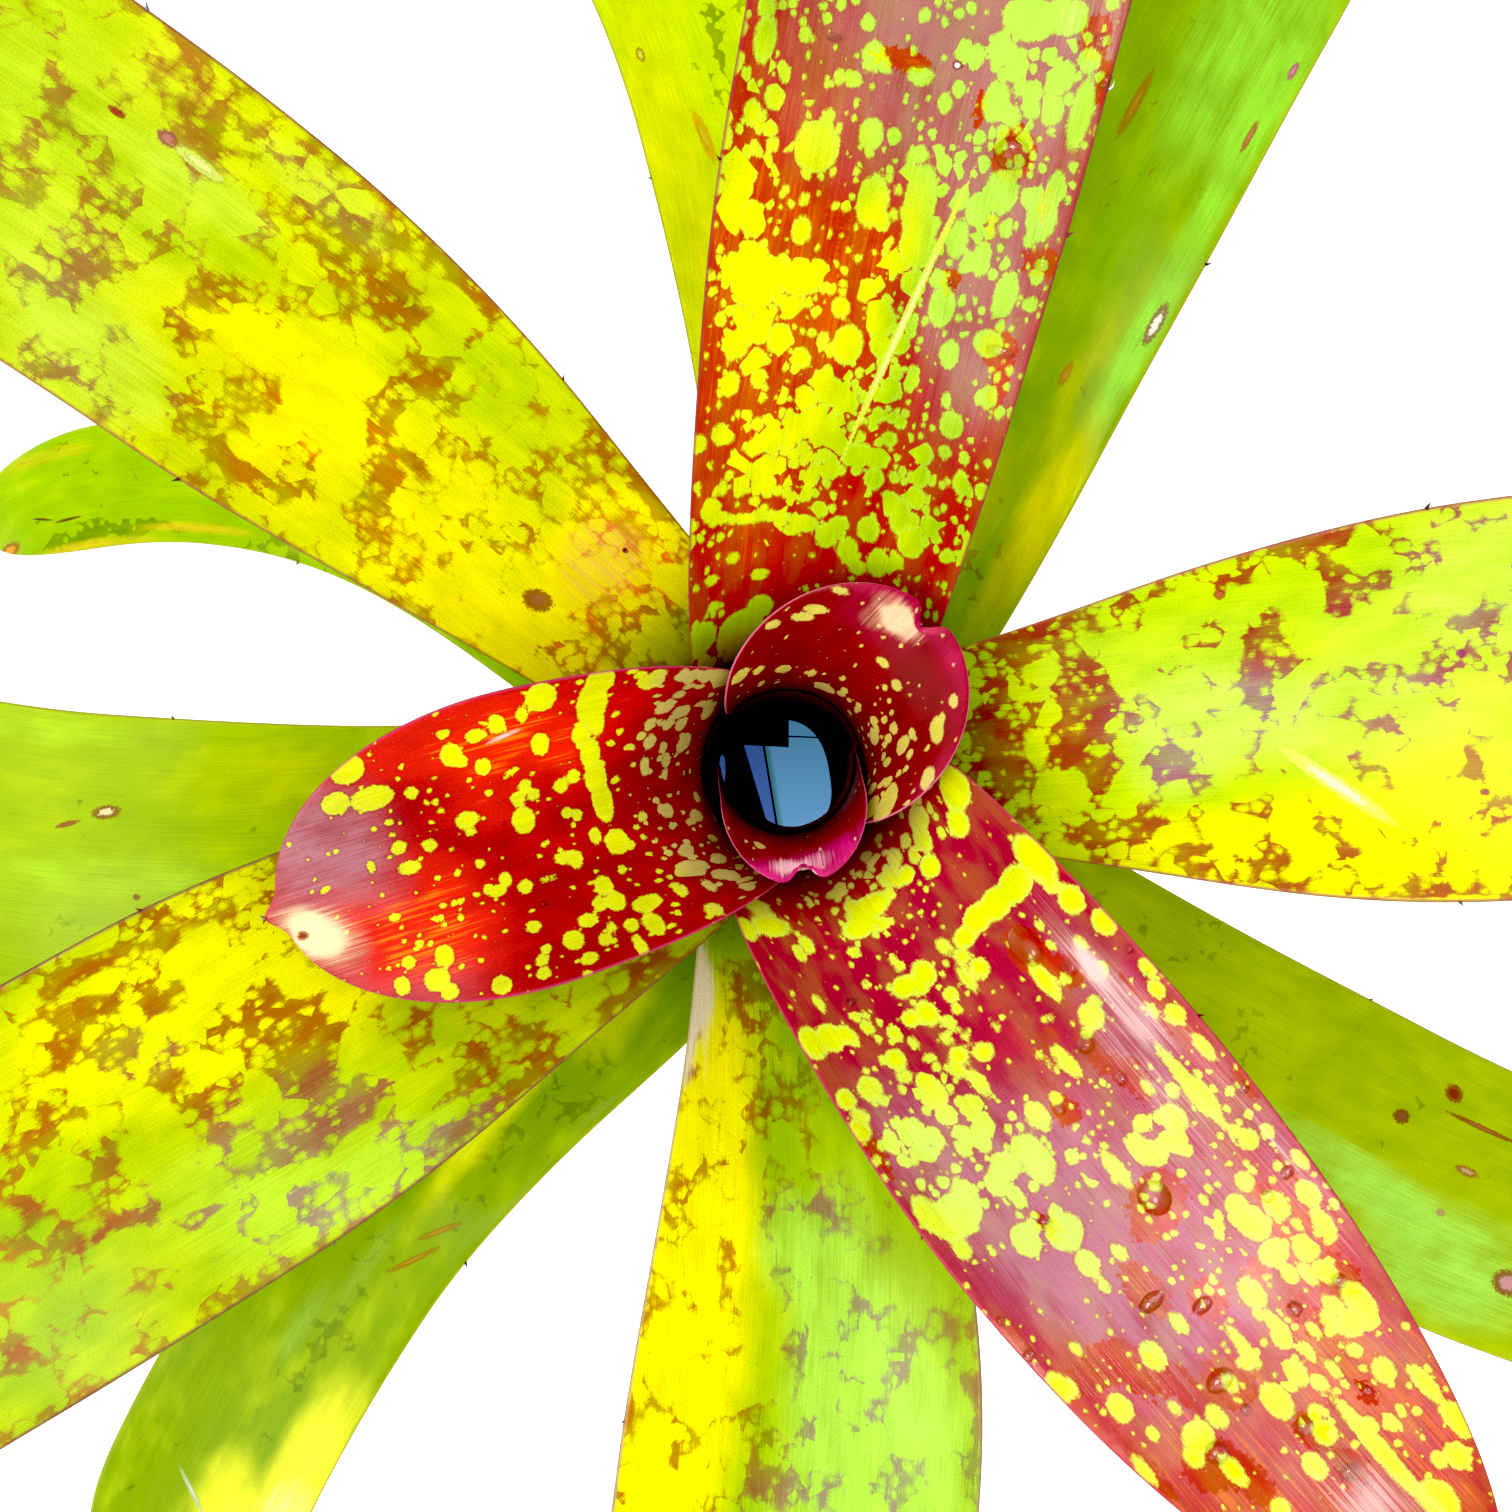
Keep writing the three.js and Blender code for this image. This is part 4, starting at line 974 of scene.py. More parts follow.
big_leaf = grow(
    "leaf_04", "red_leaf",
    leaf_sizes(
        layer=3, azimuth=306, sweep=6.5, length=282, neck=102, rise=35, tip_rise=8, neck_half=33,
        blade_half=35.5, tip=136),
    leaf_material(
        "big_red_leaf", seed=4, ground=("AC0434", "C42C10", "BC7284"),
        spot=("E8F400", "FAF400", "D8F468"), edge="C04050", pale="F4CCC8", rim="B01818", gloss=0.2,
        fade=0.2, thin="B01C18", halo=1.0, fine=0.35, flame=0.55),
    crimson_spines, rows=250, columns=76, seed=4, dimmed=0.16,
    tone=(0.12, [
        (104, 10, 10, 26, 0.20), (112, 2, 8, 14, 0.12), (120, 15, 7, 14, -0.08),
        (118, -22, 8, 8, -0.06), (137, -8, 12, 12, 0.10), (158, -20, 14, 12, 0.28),
        (178, 4, 16, 8, 0.10), (142, 24, 8, 10, -0.08), (165, 20, 14, 8, -0.10),
        (160, 2, 14, 8, -0.08), (172, -18, 18, 14, 0.12), (196, 20, 20, 12, 0.20),
        (228, 12, 22, 12, 0.24), (205, -5, 30, 6, 0.0), (215, -18, 30, 12, -0.06)
    ]),
    warm=(-0.04, [
        (235, 10, 36, 25, 0.60), (225, -24, 30, 10, 0.70), (250, 0, 24, 34, 0.62),
        (232, 13, 18, 7, 0.45), (206, 22, 22, 5, 0.9), (176, 30, 14, 3, 0.8)
    ]),
    bloom=(0.0, [
        (158, 24, 18, 6, 0.55), (192, 6, 24, 26, 0.75), (178, -15, 22, 14, 0.80),
        (205, -16, 20, 10, 0.30), (226, 2, 24, 26, 0.46), (157, -26, 14, 8, 0.55),
        (243, 14, 20, 12, 0.25)
    ]),
    # Painted highlight: most of these pale strokes lay a pinkish-white sheen along the blade.
    pale=(0.0, [
        (160, 25.5, 14, 3, 0.62), (147, 24, 8, 3, 0.42), (170, 19, 14, 5, 0.40),
        (190, 20, 14, 6, 0.30), (190, 10, 12, 4, 0.25), (212, 12, 16, 6, 0.10),
        (236, 16, 14, 6, 0.12), (133, 27, 7, 5, 0.30), (183, -2, 14, 4, 0.22),
        (180, 30, 22, 3, 0.40), (212, 29, 16, 5, 0.35), (248, -5, 12, 9, 0.38), (262, 2, 12, 8, 0.5)
    ]),
    wet=(0.0, [
        (140, 17, 6, 4, 0.9), (149, 21, 4, 3, 0.8), (193, 6, 5, 6, 0.9), (196, 2, 3, 5, 0.7),
        (204, -7, 6, 3.5, 0.8), (213, -18, 7, 3.5, 0.7), (209, -24, 4, 5, 0.8), (212, 1, 4, 4, 0.8),
        (225, -6, 5, 4.5, 0.9), (220, -13, 7, 2.5, 0.65), (233, -18, 5, 5, 0.8),
        (240, -14, 6, 3, 0.7), (240, 0, 4, 3, 0.8), (249, 1, 4, 3, 0.8), (164, 14, 6, 2.2, 0.6),
        (173, 17, 6, 3, 0.65), (170, 2.5, 3, 3, 0.7), (184, -14, 4, 2, 0.6), (198, -32, 8, 2, 0.7),
        (227, -28, 9, 2.5, 0.7), (205, 21.5, 3.5, 2.5, 0.7), (204, 28.5, 3.5, 2, 0.7),
        (223, 22, 5, 4, 0.65), (214, 11, 3, 4, 0.6), (225, 13, 6, 3, 0.55), (241, 12, 3, 2, 0.6),
        (156, 9, 3, 3, 0.55), (154, -33, 7, 2, 0.6), (163, 28.3, 10, 0.9, 0.75),
        (187, 33, 4, 2, 0.7), (133, 35, 3, 2, 0.6), (165, 2.5, 5, 2, 0.4)
    ]),
    spots=[
        (128.5, 31, 5.5, 3.5), (128.5, 24, 3.4, 4.5), (128.2, 18, 3.2, 4), (127.6, 13, 3, 3.5),
        (128.8, 8.5, 2.3, 2.8), (127.3, 3.6, 2, 1.4), (131.5, 5.5, 1.9, 1.6), (109, 29, 3.3, 4.5),
        (112, 23.5, 2.6, 2.8), (103, 25.5, 1.4, 1.5), (104, 17, 2.6, 2.8), (107, 14.5, 3, 2),
        (112, 12, 2.6, 2.4), (104, 7, 2.5, 1.7), (106.5, 3.5, 2.1, 2.8), (109, 4.5, 1.6, 1.8),
        (110, -4, 3, 5.5), (113, -8, 2.6, 4.2), (115, -4, 1.6, 2), (93, 15, 3, 2.6),
        (89, 13.5, 3.4, 2), (91, 10, 2.2, 1.4), (101, -1.5, 1.2, 1), (103, -8, 1.4, 2.6),
        (108, -26, 2.2, 4.4), (109, -32, 2, 2), (112.5, -20.5, 2, 1.4), (114, -23, 1.8, 1.3),
        (117.5, -12.5, 1.4, 1.4), (104, -27, 1.5, 3.2), (136, 7, 2.4, 1.9), (136, 3.4, 3.5, 1.2),
        (136.7, -1.2, 1.9, 1.6), (129.5, -3, 3.2, 2.4), (131, -5.5, 2.5, 2), (129.5, -8, 2.5, 2.9),
        (137, -7.5, 3.1, 2.2), (136, -11, 2, 1.9), (141.5, -5, 1.9, 1.3), (143.5, -7.5, 1.4, 1.2),
        (140.5, -13.5, 1.5, 1), (145, -13, 1.2, 0.9), (150.5, -3, 2, 2.1), (148, -7.5, 2, 2),
        (150, -9.5, 2.3, 1.6), (155, -7.5, 3.4, 1.4), (145.5, -4, 1.2, 0.9), (147.8, 2.3, 1.3, 0.7),
        (125, -14.3, 1.2, 0.9), (123.5, -6.5, 1.3, 1), (124.5, -25.5, 2, 0.9), (132, -24.5, 2, 2),
        (133.5, -23.5, 2, 1.2), (131.5, -27.5, 3, 2.7), (131, -31.5, 3.4, 2.6),
        (141.5, -18.5, 2.4, 2.1), (145.5, -19, 1.4, 1.7), (152, -16.5, 3, 2.7),
        (150.5, -14.7, 1.3, 1.1), (144, -26.5, 2.9, 2.5), (143.5, -32, 2.4, 1.9),
        (148, -31.5, 1.9, 1.6), (150, -33, 2.5, 2), (155.5, -24.5, 3.1, 2.9),
        (159.5, -21.5, 1.9, 1.7), (133, -19.5, 1.8, 1.3), (130.5, -18.3, 1, 0.9),
        (164, -14.3, 3.1, 1.7), (163.5, -18, 2.1, 1.4), (171, -13.5, 2.9, 3.1),
        (172.5, -17, 2.6, 2.1), (176.5, -15.3, 3.1, 1.4), (170.5, -8.5, 3.1, 2.5),
        (175, -8.7, 3.6, 2.1), (173, -6.5, 4.5, 1.6), (171, -23, 3.6, 2.2), (173, -27, 4.2, 5.5),
        (170, -31.5, 4, 2.2), (178.5, -30, 2.1, 1.6), (187, -12, 3.5, 3.6), (184, -19, 3.4, 2.6),
        (182.5, -16.5, 1.5, 1.3), (167, -2.3, 3.3, 2.1), (166.5, 2.7, 1.6, 1.2),
        (194, -12.3, 2.7, 2.1), (198.8, -12.5, 1.5, 1.1), (196, -6.3, 1.9, 1.2),
        (152.8, 25.5, 2, 2.2), (146.5, 26.3, 1.9, 1.1), (146.8, 33, 2.9, 2.4), (139, 31, 3.1, 2.7),
        (134, 30, 1.6, 2), (147, 15.8, 5, 1.7), (149.5, 19.3, 1.4, 1), (157, 21, 1.6, 1.1),
        (158.5, 18.5, 2.9, 2.5), (160.5, 15.5, 1.1, 1.3), (163, 9, 3.4, 1.4),
        (159.5, 8.7, 1.6, 1.1), (161.5, 6.2, 1.4, 0.6), (158, 5.3, 1.3, 0.7), (153.5, 12, 0.9, 0.7),
        (142.5, 21.5, 1.3, 0.9), (138, 22.3, 1.3, 0.8), (159, 33.5, 2.1, 1.5), (163, 32, 2.1, 1.6),
        (169, 31.5, 2.1, 2), (165.5, 28.5, 2, 0.9), (177, 31.5, 3.1, 1.3), (181, 24.6, 10, 1.4),
        (183.5, 24.8, 5, 2.2), (183.5, 18, 3.1, 2.4), (186, 14.5, 1.9, 3), (180.5, 12.7, 1.8, 1.8),
        (184, 9.3, 3.6, 2.1), (186.5, 11, 2.4, 2.1), (176, 18, 1.9, 0.9), (195, 26.3, 2.1, 1.9),
        (184, 3.2, 4.4, 1.5), (207, 22, 2.9, 2.1), (213, 16, 2.4, 2.9), (216, 8, 3.1, 2.1),
        (214.5, 26.5, 3.1, 1.6), (209, 28, 2.6, 2), (203.5, 31, 2.1, 1.1), (228.5, 22, 4, 2.3),
        (230.5, 18.5, 2.4, 3), (226, 17.7, 1.9, 1.3), (228, 15.4, 2.1, 1.1),
        (219.5, 18.2, 2.4, 1.3), (234, 15, 1.3, 0.8), (240, 17, 2.4, 2), (227.5, 12.3, 1.8, 0.9),
        (222.5, 7.6, 3.1, 1.3), (231, 4.7, 2.7, 1.8), (229.5, 8.7, 2.1, 1.1), (234.5, 10.3, 1.9, 1),
        (222, 0.5, 4.5, 1.1), (224.5, -1, 1.6, 1.3), (232.5, -1.3, 3.6, 2.4),
        (241.5, 1.5, 2.4, 2.1), (244.5, -3.8, 2.6, 1.9), (212, -6, 2.3, 1.3),
        (213.5, -13.6, 2.9, 2.1), (216.5, -24.3, 2.7, 2.1), (204.2, -24, 1.4, 0.9),
        (223.2, -22.6, 1.4, 1.1), (207.5, -31, 3, 2), (208.5, -29.3, 2, 1.1), (226.8, -28, 3, 1.1),
        (228.5, -16.5, 2.8, 3), (230.5, -19.5, 2.1, 1.6), (228, -11.5, 2.4, 1.6),
        (236.3, -15.5, 3.3, 1.6), (246, -13.3, 1.8, 1.7), (222.5, -16.5, 1.4, 0.9),
        (225.2, -5.8, 1.8, 1.3), (246, 21, 4, 1.5), (258.5, 16.7, 2.6, 2.1), (257, 13.8, 1.6, 1.3),
        (262, 9, 4, 3), (266, 2, 5, 2), (254, 21, 4, 2), (250, 7, 12, 1.6)
    ])

upper_leaf = grow(
    "leaf_05", "blotched_leaf",
    leaf_sizes(
        layer=4, azimuth=81, sweep=-7, length=320, neck=97, rise=40, tip_rise=7, neck_half=28,
        blade_half=33.5, tip=48),
    leaf_material(
        "upper_red_leaf", seed=5, ground=("AC0810", "C43404", "B07068"),
        spot=("A4CC00", "F4F400", "B8EC4C"), edge="A03038", rim="A83008", fade=0.2, thin="B04010",
        halo=0.7, fine=0.9, flame=0.4,
        scars_and_highlights=[
            # A painted highlight: a long pale streak along the blade.
            (172, -6.8, 30, 0.8, -12.5, "D8EC40", "ECF888"),
            (219.5, -6.2, 0.8, 1.0, 0, "8A2020", "FCF4F0"),
            (218.5, 2, 0.9, 3.5, 0, "B04010", "C05018")
        ]),
    crimson_spines, rows=260, columns=76, seed=5, dimmed=0.12,
    tone=(
        0.32,
        [
            (100, 18, 9, 14, 0.15), (112, 10, 9, 16, -0.22), (117, 18, 8, 10, -0.12),
            (118, -10, 6, 14, -0.10), (128, 8, 4, 20, 0.06), (143, 12, 14, 10, 0.34),
            (148, 2, 11, 10, 0.34), (137, -1, 6, 6, -0.16), (160, -8, 12, 4, 0.26),
            (140, -14, 10, 8, 0.20), (135, -26, 10, 6, 0.20), (152, -24, 12, 6, 0.04),
            (165, 22, 10, 8, 0.15), (176, 18, 5, 13, 0.50), (187, 27, 12, 6, 0.22),
            (176, -4, 12, 5, 0.32), (163, -12, 5, 8, -0.20), (162, -24, 16, 8, -0.14),
            (190, 4, 10, 7, 0.15), (194, -6, 12, 4, 0.20), (168, -11, 5, 5, -0.15),
            (188, 14, 6, 8, -0.20), (210, 10, 12, 14, -0.10), (212, 20, 10, 6, -0.02),
            (206, -12, 10, 4, 0.05), (200, -20, 14, 8, 0.14), (224, -20, 6, 8, 0.14),
            (204, 29, 14, 6, 0.18), (182, 5, 8, 4, -0.28), (172, 8, 6, 5, -0.10)
        ],
        0.80,
    ),
    warm=(0.10, [
        (150, 20, 30, 16, 0.85), (118, 14, 8, 10, 0.35), (185, 22, 24, 16, 0.80),
        (176, 6, 14, 9, 0.60), (190, -2, 10, 5, 0.5), (215, 14, 14, 14, 0.25),
        (130, -10, 12, 18, 0.10)
    ]),
    bloom=(0.0, [
        (195, -22, 34, 12, 0.85), (166, -24, 10, 8, 0.35), (215, -6, 18, 14, 0.60),
        (212, 12, 16, 14, 0.30), (228, -18, 12, 16, 0.9), (245, 0, 25, 34, 0.7),
        (178, -14, 10, 5, 0.4)
    ]),
    pale=(0.0, [(231, -28, 10, 8, 0.35), (198, -28, 9, 5, 0.32)]),
    wet=(0.0, [
        (207, -20, 5, 4, 0.9), (172, -26, 4, 4, 0.8), (189.5, -30, 3, 4, 0.8),
        (222, -33, 4, 2, 0.8), (182, -14, 3, 2, 0.7), (218.5, 4, 2.2, 6, 0.7),
        (229, -29, 4, 3, 0.8), (200, -28, 4, 1.5, 0.6), (165, -28, 6, 2, 0.7),
        (194, -19, 4, 1.5, 0.6), (213, -12, 4, 1.5, 0.6), (188, 8, 5, 8, 0.45), (176, 4, 6, 5, 0.45)
    ]),
    spots=[
        (103, 26, 3.5, 4), (101, 16, 5, 5.5), (106, 12, 3, 3), (95, 17, 3, 3),
        (127.5, 24, 1.4, 3.2), (127, 18, 1.2, 4.2), (127.6, 11, 1.3, 4.2), (126.5, 5, 2.0, 3.0),
        (124.5, 0, 3, 2.4), (122, -5, 3, 2.2), (128, -8.5, 3, 2.4), (121, -12, 3.3, 2.4),
        (128, -18, 3.4, 3), (133, -14.5, 4.2, 2.2), (201, 16, 4.6, 4.2), (193.5, 3.7, 4.9, 3),
        (186, 16, 2.6, 1.9), (205, 6.5, 2.8, 2.3), (216.5, 0, 1.7, 2.4), (213.5, 12, 1.4, 1.9),
        (213.3, 14.5, 1.4, 0.9), (206.5, 15, 1.6, 1.1), (212, 24.3, 1.6, 1.1), (219, 22, 1.4, 1.1),
        (218, 9, 2.6, 2), (217, 29, 4, 2), (202.5, -1.8, 2.1, 1.1), (212.8, -5.6, 1.9, 1.3),
        (195, -5, 7, 3), (187, -6.5, 4, 3.6), (221.5, -9, 2.3, 1.5), (223.5, -13, 3.1, 2),
        (215, -14.5, 3.6, 2.3), (213, -18.4, 1.9, 1.3), (218.3, -18.2, 1.7, 1.1),
        (222, -17.8, 1.4, 1), (229.5, -17, 3.6, 5), (231, -23, 3, 4), (190, -13.5, 3.6, 1.9),
        (200, -19.5, 4, 3), (187.5, -18.7, 3.3, 1.9), (182.5, -25, 3.9, 2.3),
        (193, -26.7, 1.6, 1.1), (197, -28, 4, 2.8), (203, -29, 3, 1.4), (216, -30, 6, 1.9),
        (225, -29, 2, 2), (155, -20.7, 2.7, 2.5), (162.5, -26.5, 2.3, 1.9),
        (144.5, -25.2, 2.4, 1.6), (149.5, -24.8, 1.3, 1.1), (159.5, -18.5, 1.5, 1),
        (172.5, -24, 2.6, 3), (168.5, -17, 2.9, 1.9), (177, -13.5, 4, 2.5), (156, 4.5, 3.1, 3.3),
        (166, 3, 4.1, 3), (166, 8, 2.1, 1.1), (173, 5.8, 2.1, 1.8), (165, 23.5, 2.6, 2),
        (118.5, -7.7, 1.8, 2), (114.5, 24, 1.1, 1.6), (108.7, 23, 1.1, 1.6), (114, 13, 1.3, 2.1),
        (118.5, 19.5, 1.3, 1.5), (133.8, 23.7, 1.7, 1.1), (142.5, 31.8, 1.1, 0.9),
        (137, 32, 1.4, 0.8), (177, 15, 3, 5), (176, 24, 2.6, 5)
    ])

# leaf_06 to leaf_09, older and tougher, their sheaths outside the red ones: yellow-green, with
# the red shrunk to brown blotches between the spots. On leaf_09 part of the left margin has
# died and dried to a cream edge.
brown_spines = spine_skin("brown_spine", "6A1C14")
BLOTCHED = ("985010", "B06C08", "A0886C")
grow(
    "leaf_06", "blotched_leaf",
    leaf_sizes(
        layer=5, azimuth=209, sweep=2, length=320, neck=91, rise=26, tip_rise=0, neck_half=24,
        blade_half=39, tip=48),
    leaf_material(
        "lower_left_leaf", seed=6, ground=BLOTCHED, spot=("9CC000", "F2F000", "BCE42C"),
        edge="905040", rim="9A8010", fade=0.8, thin="B08808"),
    brown_spines, rows=190, columns=56, seed=6,
    tone=(0.63, [
        (112, 26, 6, 5, -0.41), (122, 25, 7, 6, -0.30), (142, 25, 5, 6, -0.39),
        (152, 31, 8, 2, -0.39), (156, 22, 4, 6, -0.33), (162, 12, 4, 7, -0.28),
        (148, 20, 5, 8, -0.19), (176, 17, 5, 4, -0.41), (189, 18, 9, 5, -0.41),
        (184, 5, 8, 6, -0.41), (181, -5, 9, 9, -0.33), (190, -10, 8, 6, -0.22),
        (202, 4, 4, 7, -0.36), (208, -5, 3, 8, -0.33), (214, -16, 5, 5, -0.33),
        (226, 0, 3, 6, -0.33), (226, 14, 7, 2, -0.33), (237, 12, 7, 4, -0.36),
        (243, 4, 5, 5, -0.33), (217, 21, 6, 2.5, -0.33), (193, 28, 9, 2.5, -0.30),
        (166, 33, 6, 2, -0.33), (200, -21, 9, 2.5, -0.33), (213, -26, 8, 3, -0.36),
        (222, -20, 5, 4, -0.30), (195, -31, 14, 2, -0.39), (212, -34, 10, 2, -0.39),
        (230, -8, 5, 3, -0.28), (200, 16, 6, 4, -0.19), (207, 10, 6, 3, -0.17),
        (245, -10, 12, 6, -0.22), (268, 5, 14, 10, -0.28), (262, 24, 14, 6, -0.22),
        (270, -16, 16, 5, -0.25), (290, 6, 12, 12, -0.22)
    ]),
    warm=(0.25, [
        (190, -18, 30, 20, 0.75), (225, -20, 18, 12, 0.5), (172, -5, 10, 12, 0.35),
        (252, 14, 18, 22, -0.25)
    ]),
    bloom=(0.0, [
        (180, 32, 20, 6, 0.9), (195, 20, 22, 14, 0.4), (203, 28, 14, 9, 0.5),
        (213, 16, 14, 8, 0.25), (210, -14, 10, 6, 0.2)
    ]))

grow(
    "leaf_07", "blotched_leaf",
    leaf_sizes(
        layer=6, azimuth=5.5, sweep=-1, length=326, neck=90, rise=32, tip_rise=3, neck_half=19,
        blade_half=39, tip=48),
    leaf_material(
        "right_leaf", seed=7, ground=("9A200C", "AC5A14", "A0707C"),
        spot=("B0DC00", "F0F000", "CCEC50"), edge="B86050", rim="A06818",
        scars_and_highlights=[
            (206, 9.8, 0.9, 0.8, 0, "A02060", "904070"),
            (208, -17.6, 0.9, 0.7, 0, "A03030", "A05050"),
            # A painted highlight: a long pale streak along the blade.
            (181, -14, 13, 1.6, -40, "E8F860", "F8FCB8"),
            (162.5, 27, 1.1, 1.1, 0, "A03A18", "C06040")
        ],
        fade=0.6, thin="A07014"),
    brown_spines, rows=190, columns=56, seed=7,
    tone=(0.66, [
        (100, -8, 14, 14, -0.22), (120, 6, 10, 16, -0.12), (134, 0, 8, 20, -0.06),
        (116, 26, 12, 4, -0.33), (125, 20, 6, 6, -0.19), (134, 24, 6, 3, -0.28),
        (131, 8, 6, 7, -0.41), (126, -2, 5, 5, -0.33), (135, -7, 4, 4, -0.36),
        (113, -3, 6, 9, -0.41), (112, 12, 5, 8, -0.22), (137, 2, 5, 4, -0.28),
        (133, -12, 5, 2, -0.22), (149, -7, 6, 4, -0.52), (168, 5.5, 3.5, 4.5, -0.47),
        (170, 30, 3, 2, -0.39), (164, 29, 3, 2, -0.28), (169, 16, 3.5, 5, -0.39),
        (171, 22, 2.5, 3, -0.28), (184, 27, 3, 9, -0.36), (187, 21, 3, 5, -0.28),
        (197, 19, 4, 3.5, -0.33), (202, 30, 3, 3, -0.30), (196, 26, 5, 2, -0.19),
        (212, 17, 3, 6, -0.33), (203, 5, 3, 5, -0.33), (199, -2, 6, 3, -0.25),
        (205, -13, 6, 3, -0.28), (181, -26, 3, 5, -0.22), (169, -28, 5, 2.5, -0.33),
        (152, -26, 5, 2, -0.30), (138, -21, 10, 5, -0.33), (134, -29, 6, 3, -0.28),
        (160, -30, 8, 2, -0.33), (166, -17, 6, 1.5, -0.25), (196, -36, 10, 2, -0.28),
        (184, 36, 7, 2, -0.30), (157, 15, 4, 2, -0.17), (224, 8, 8, 6, -0.28),
        (232, -12, 8, 6, -0.25), (240, 22, 10, 6, -0.28), (256, 2, 12, 8, -0.28),
        (275, -14, 14, 8, -0.25)
    ]),
    warm=(0.25, [
        (190, -28, 40, 12, 0.8), (150, -26, 20, 8, 0.6), (200, -8, 20, 12, 0.3),
        (125, 0, 12, 16, 0.2)
    ]),
    bloom=(0.0, [
        (158, 2, 18, 9, 0.95), (185, 0, 22, 9, 0.55), (212, 26, 14, 14, 0.5),
        (195, 14, 14, 12, 0.25), (150, -8, 9, 6, 0.7), (230, 5, 20, 30, 0.35)
    ]))

grow(
    "leaf_08", "blotched_leaf",
    leaf_sizes(
        layer=7, azimuth=138, sweep=14, length=332, neck=86, rise=30, tip_rise=12, neck_half=20,
        blade_half=35, tip=48),
    leaf_material(
        "upper_left_leaf", seed=8, ground=("A06408", "C0800C", "A08850"),
        spot=("B8D400", "FCF000", "CCEC40"), edge="A05838", pale="F0A45C", rim="A08810",
        scars_and_highlights=[
            (238.5, -17.8, 2.0, 1.4, 0, "983848", "B87868"),
            (248, -16.2, 1.6, 0.7, 0, "902018", "A03028"),
            (128, 9.5, 3.6, 2.3, 20, "8C3414", "A86838"),
            (120.5, -11.5, 0.7, 0.6, 0, "6A1010", "801818"),
            (231.5, -17.5, 5, 1.2, 0, "D0E060", "DCEC80")
        ],
        fade=1.0, thin="B48C04", flame=1.0),
    brown_spines, rows=190, columns=56, seed=8,
    tone=(0.645, [
        (137, -1, 8, 8, -0.20), (119, -19, 8, 6, -0.18), (130, -12, 14, 8, -0.14),
        (102, 4, 8, 20, -0.25), (168, 19, 6, 5, -0.36), (171, 12, 4, 6, -0.33),
        (171, 5, 7, 5, -0.36), (177, 0, 4, 5, -0.33), (178, -6, 3, 5, -0.33),
        (184, 20, 5, 5, -0.16), (199, 14, 6, 8, -0.36), (193, 27, 7, 2.5, -0.33),
        (203, 25, 6, 3, -0.33), (211, 22, 5, 2, -0.30), (219, 8, 5, 7, -0.36),
        (216, 2, 4, 3, -0.28), (226, 18, 5, 4, -0.28), (236, 10, 5, 8, -0.26),
        (243, 15, 6, 7, -0.33), (241, -5, 6, 7, -0.28), (232, -22, 6, 6, -0.33),
        (205, -23, 10, 7, -0.44), (190, -20, 7, 7, -0.33), (176, -12, 7, 4, -0.25),
        (174, -19, 3, 6, -0.28), (200, -9, 9, 4, -0.25), (141, -22, 4, 5, -0.33),
        (125, -25, 6, 2.5, -0.33), (134, -24, 5, 2.5, -0.28), (112, 0, 5, 8, -0.28),
        (110, 18, 3, 6, -0.22), (136, 12, 6, 3, -0.17), (134, -14, 8, 5, -0.19),
        (240, -28, 10, 5, -0.25), (232, 30, 8, 3, -0.22), (258, -4, 8, 12, -0.25),
        (160, -8, 6, 3, -0.17), (150, -14, 8, 2, -0.17), (185, -31, 10, 2.5, -0.30),
        (220, -30, 8, 3, -0.28), (280, 5, 14, 12, -0.22)
    ]),
    warm=(0.35, [
        (120, -11, 16, 12, 1.15), (116, 12, 14, 14, 0.6), (145, 22, 24, 10, 0.6),
        (160, 4, 20, 12, 0.4), (195, 5, 24, 10, 0.5), (128, 4, 12, 8, 0.3), (187, 21, 12, 9, 0.5),
        (230, -8, 20, 10, -0.3), (165, -20, 18, 12, -0.2), (275, 0, 24, 40, -0.4)
    ]),
    bloom=(0.0, [
        (228, 26, 16, 10, 0.6), (243, 14, 10, 10, 0.3), (228, -14, 14, 4, 0.4),
        (210, -28, 14, 5, 0.4), (250, 0, 30, 30, 0.25)
    ]),
    pale=(0.0, [(122, -6, 12, 12, 0.62)]))

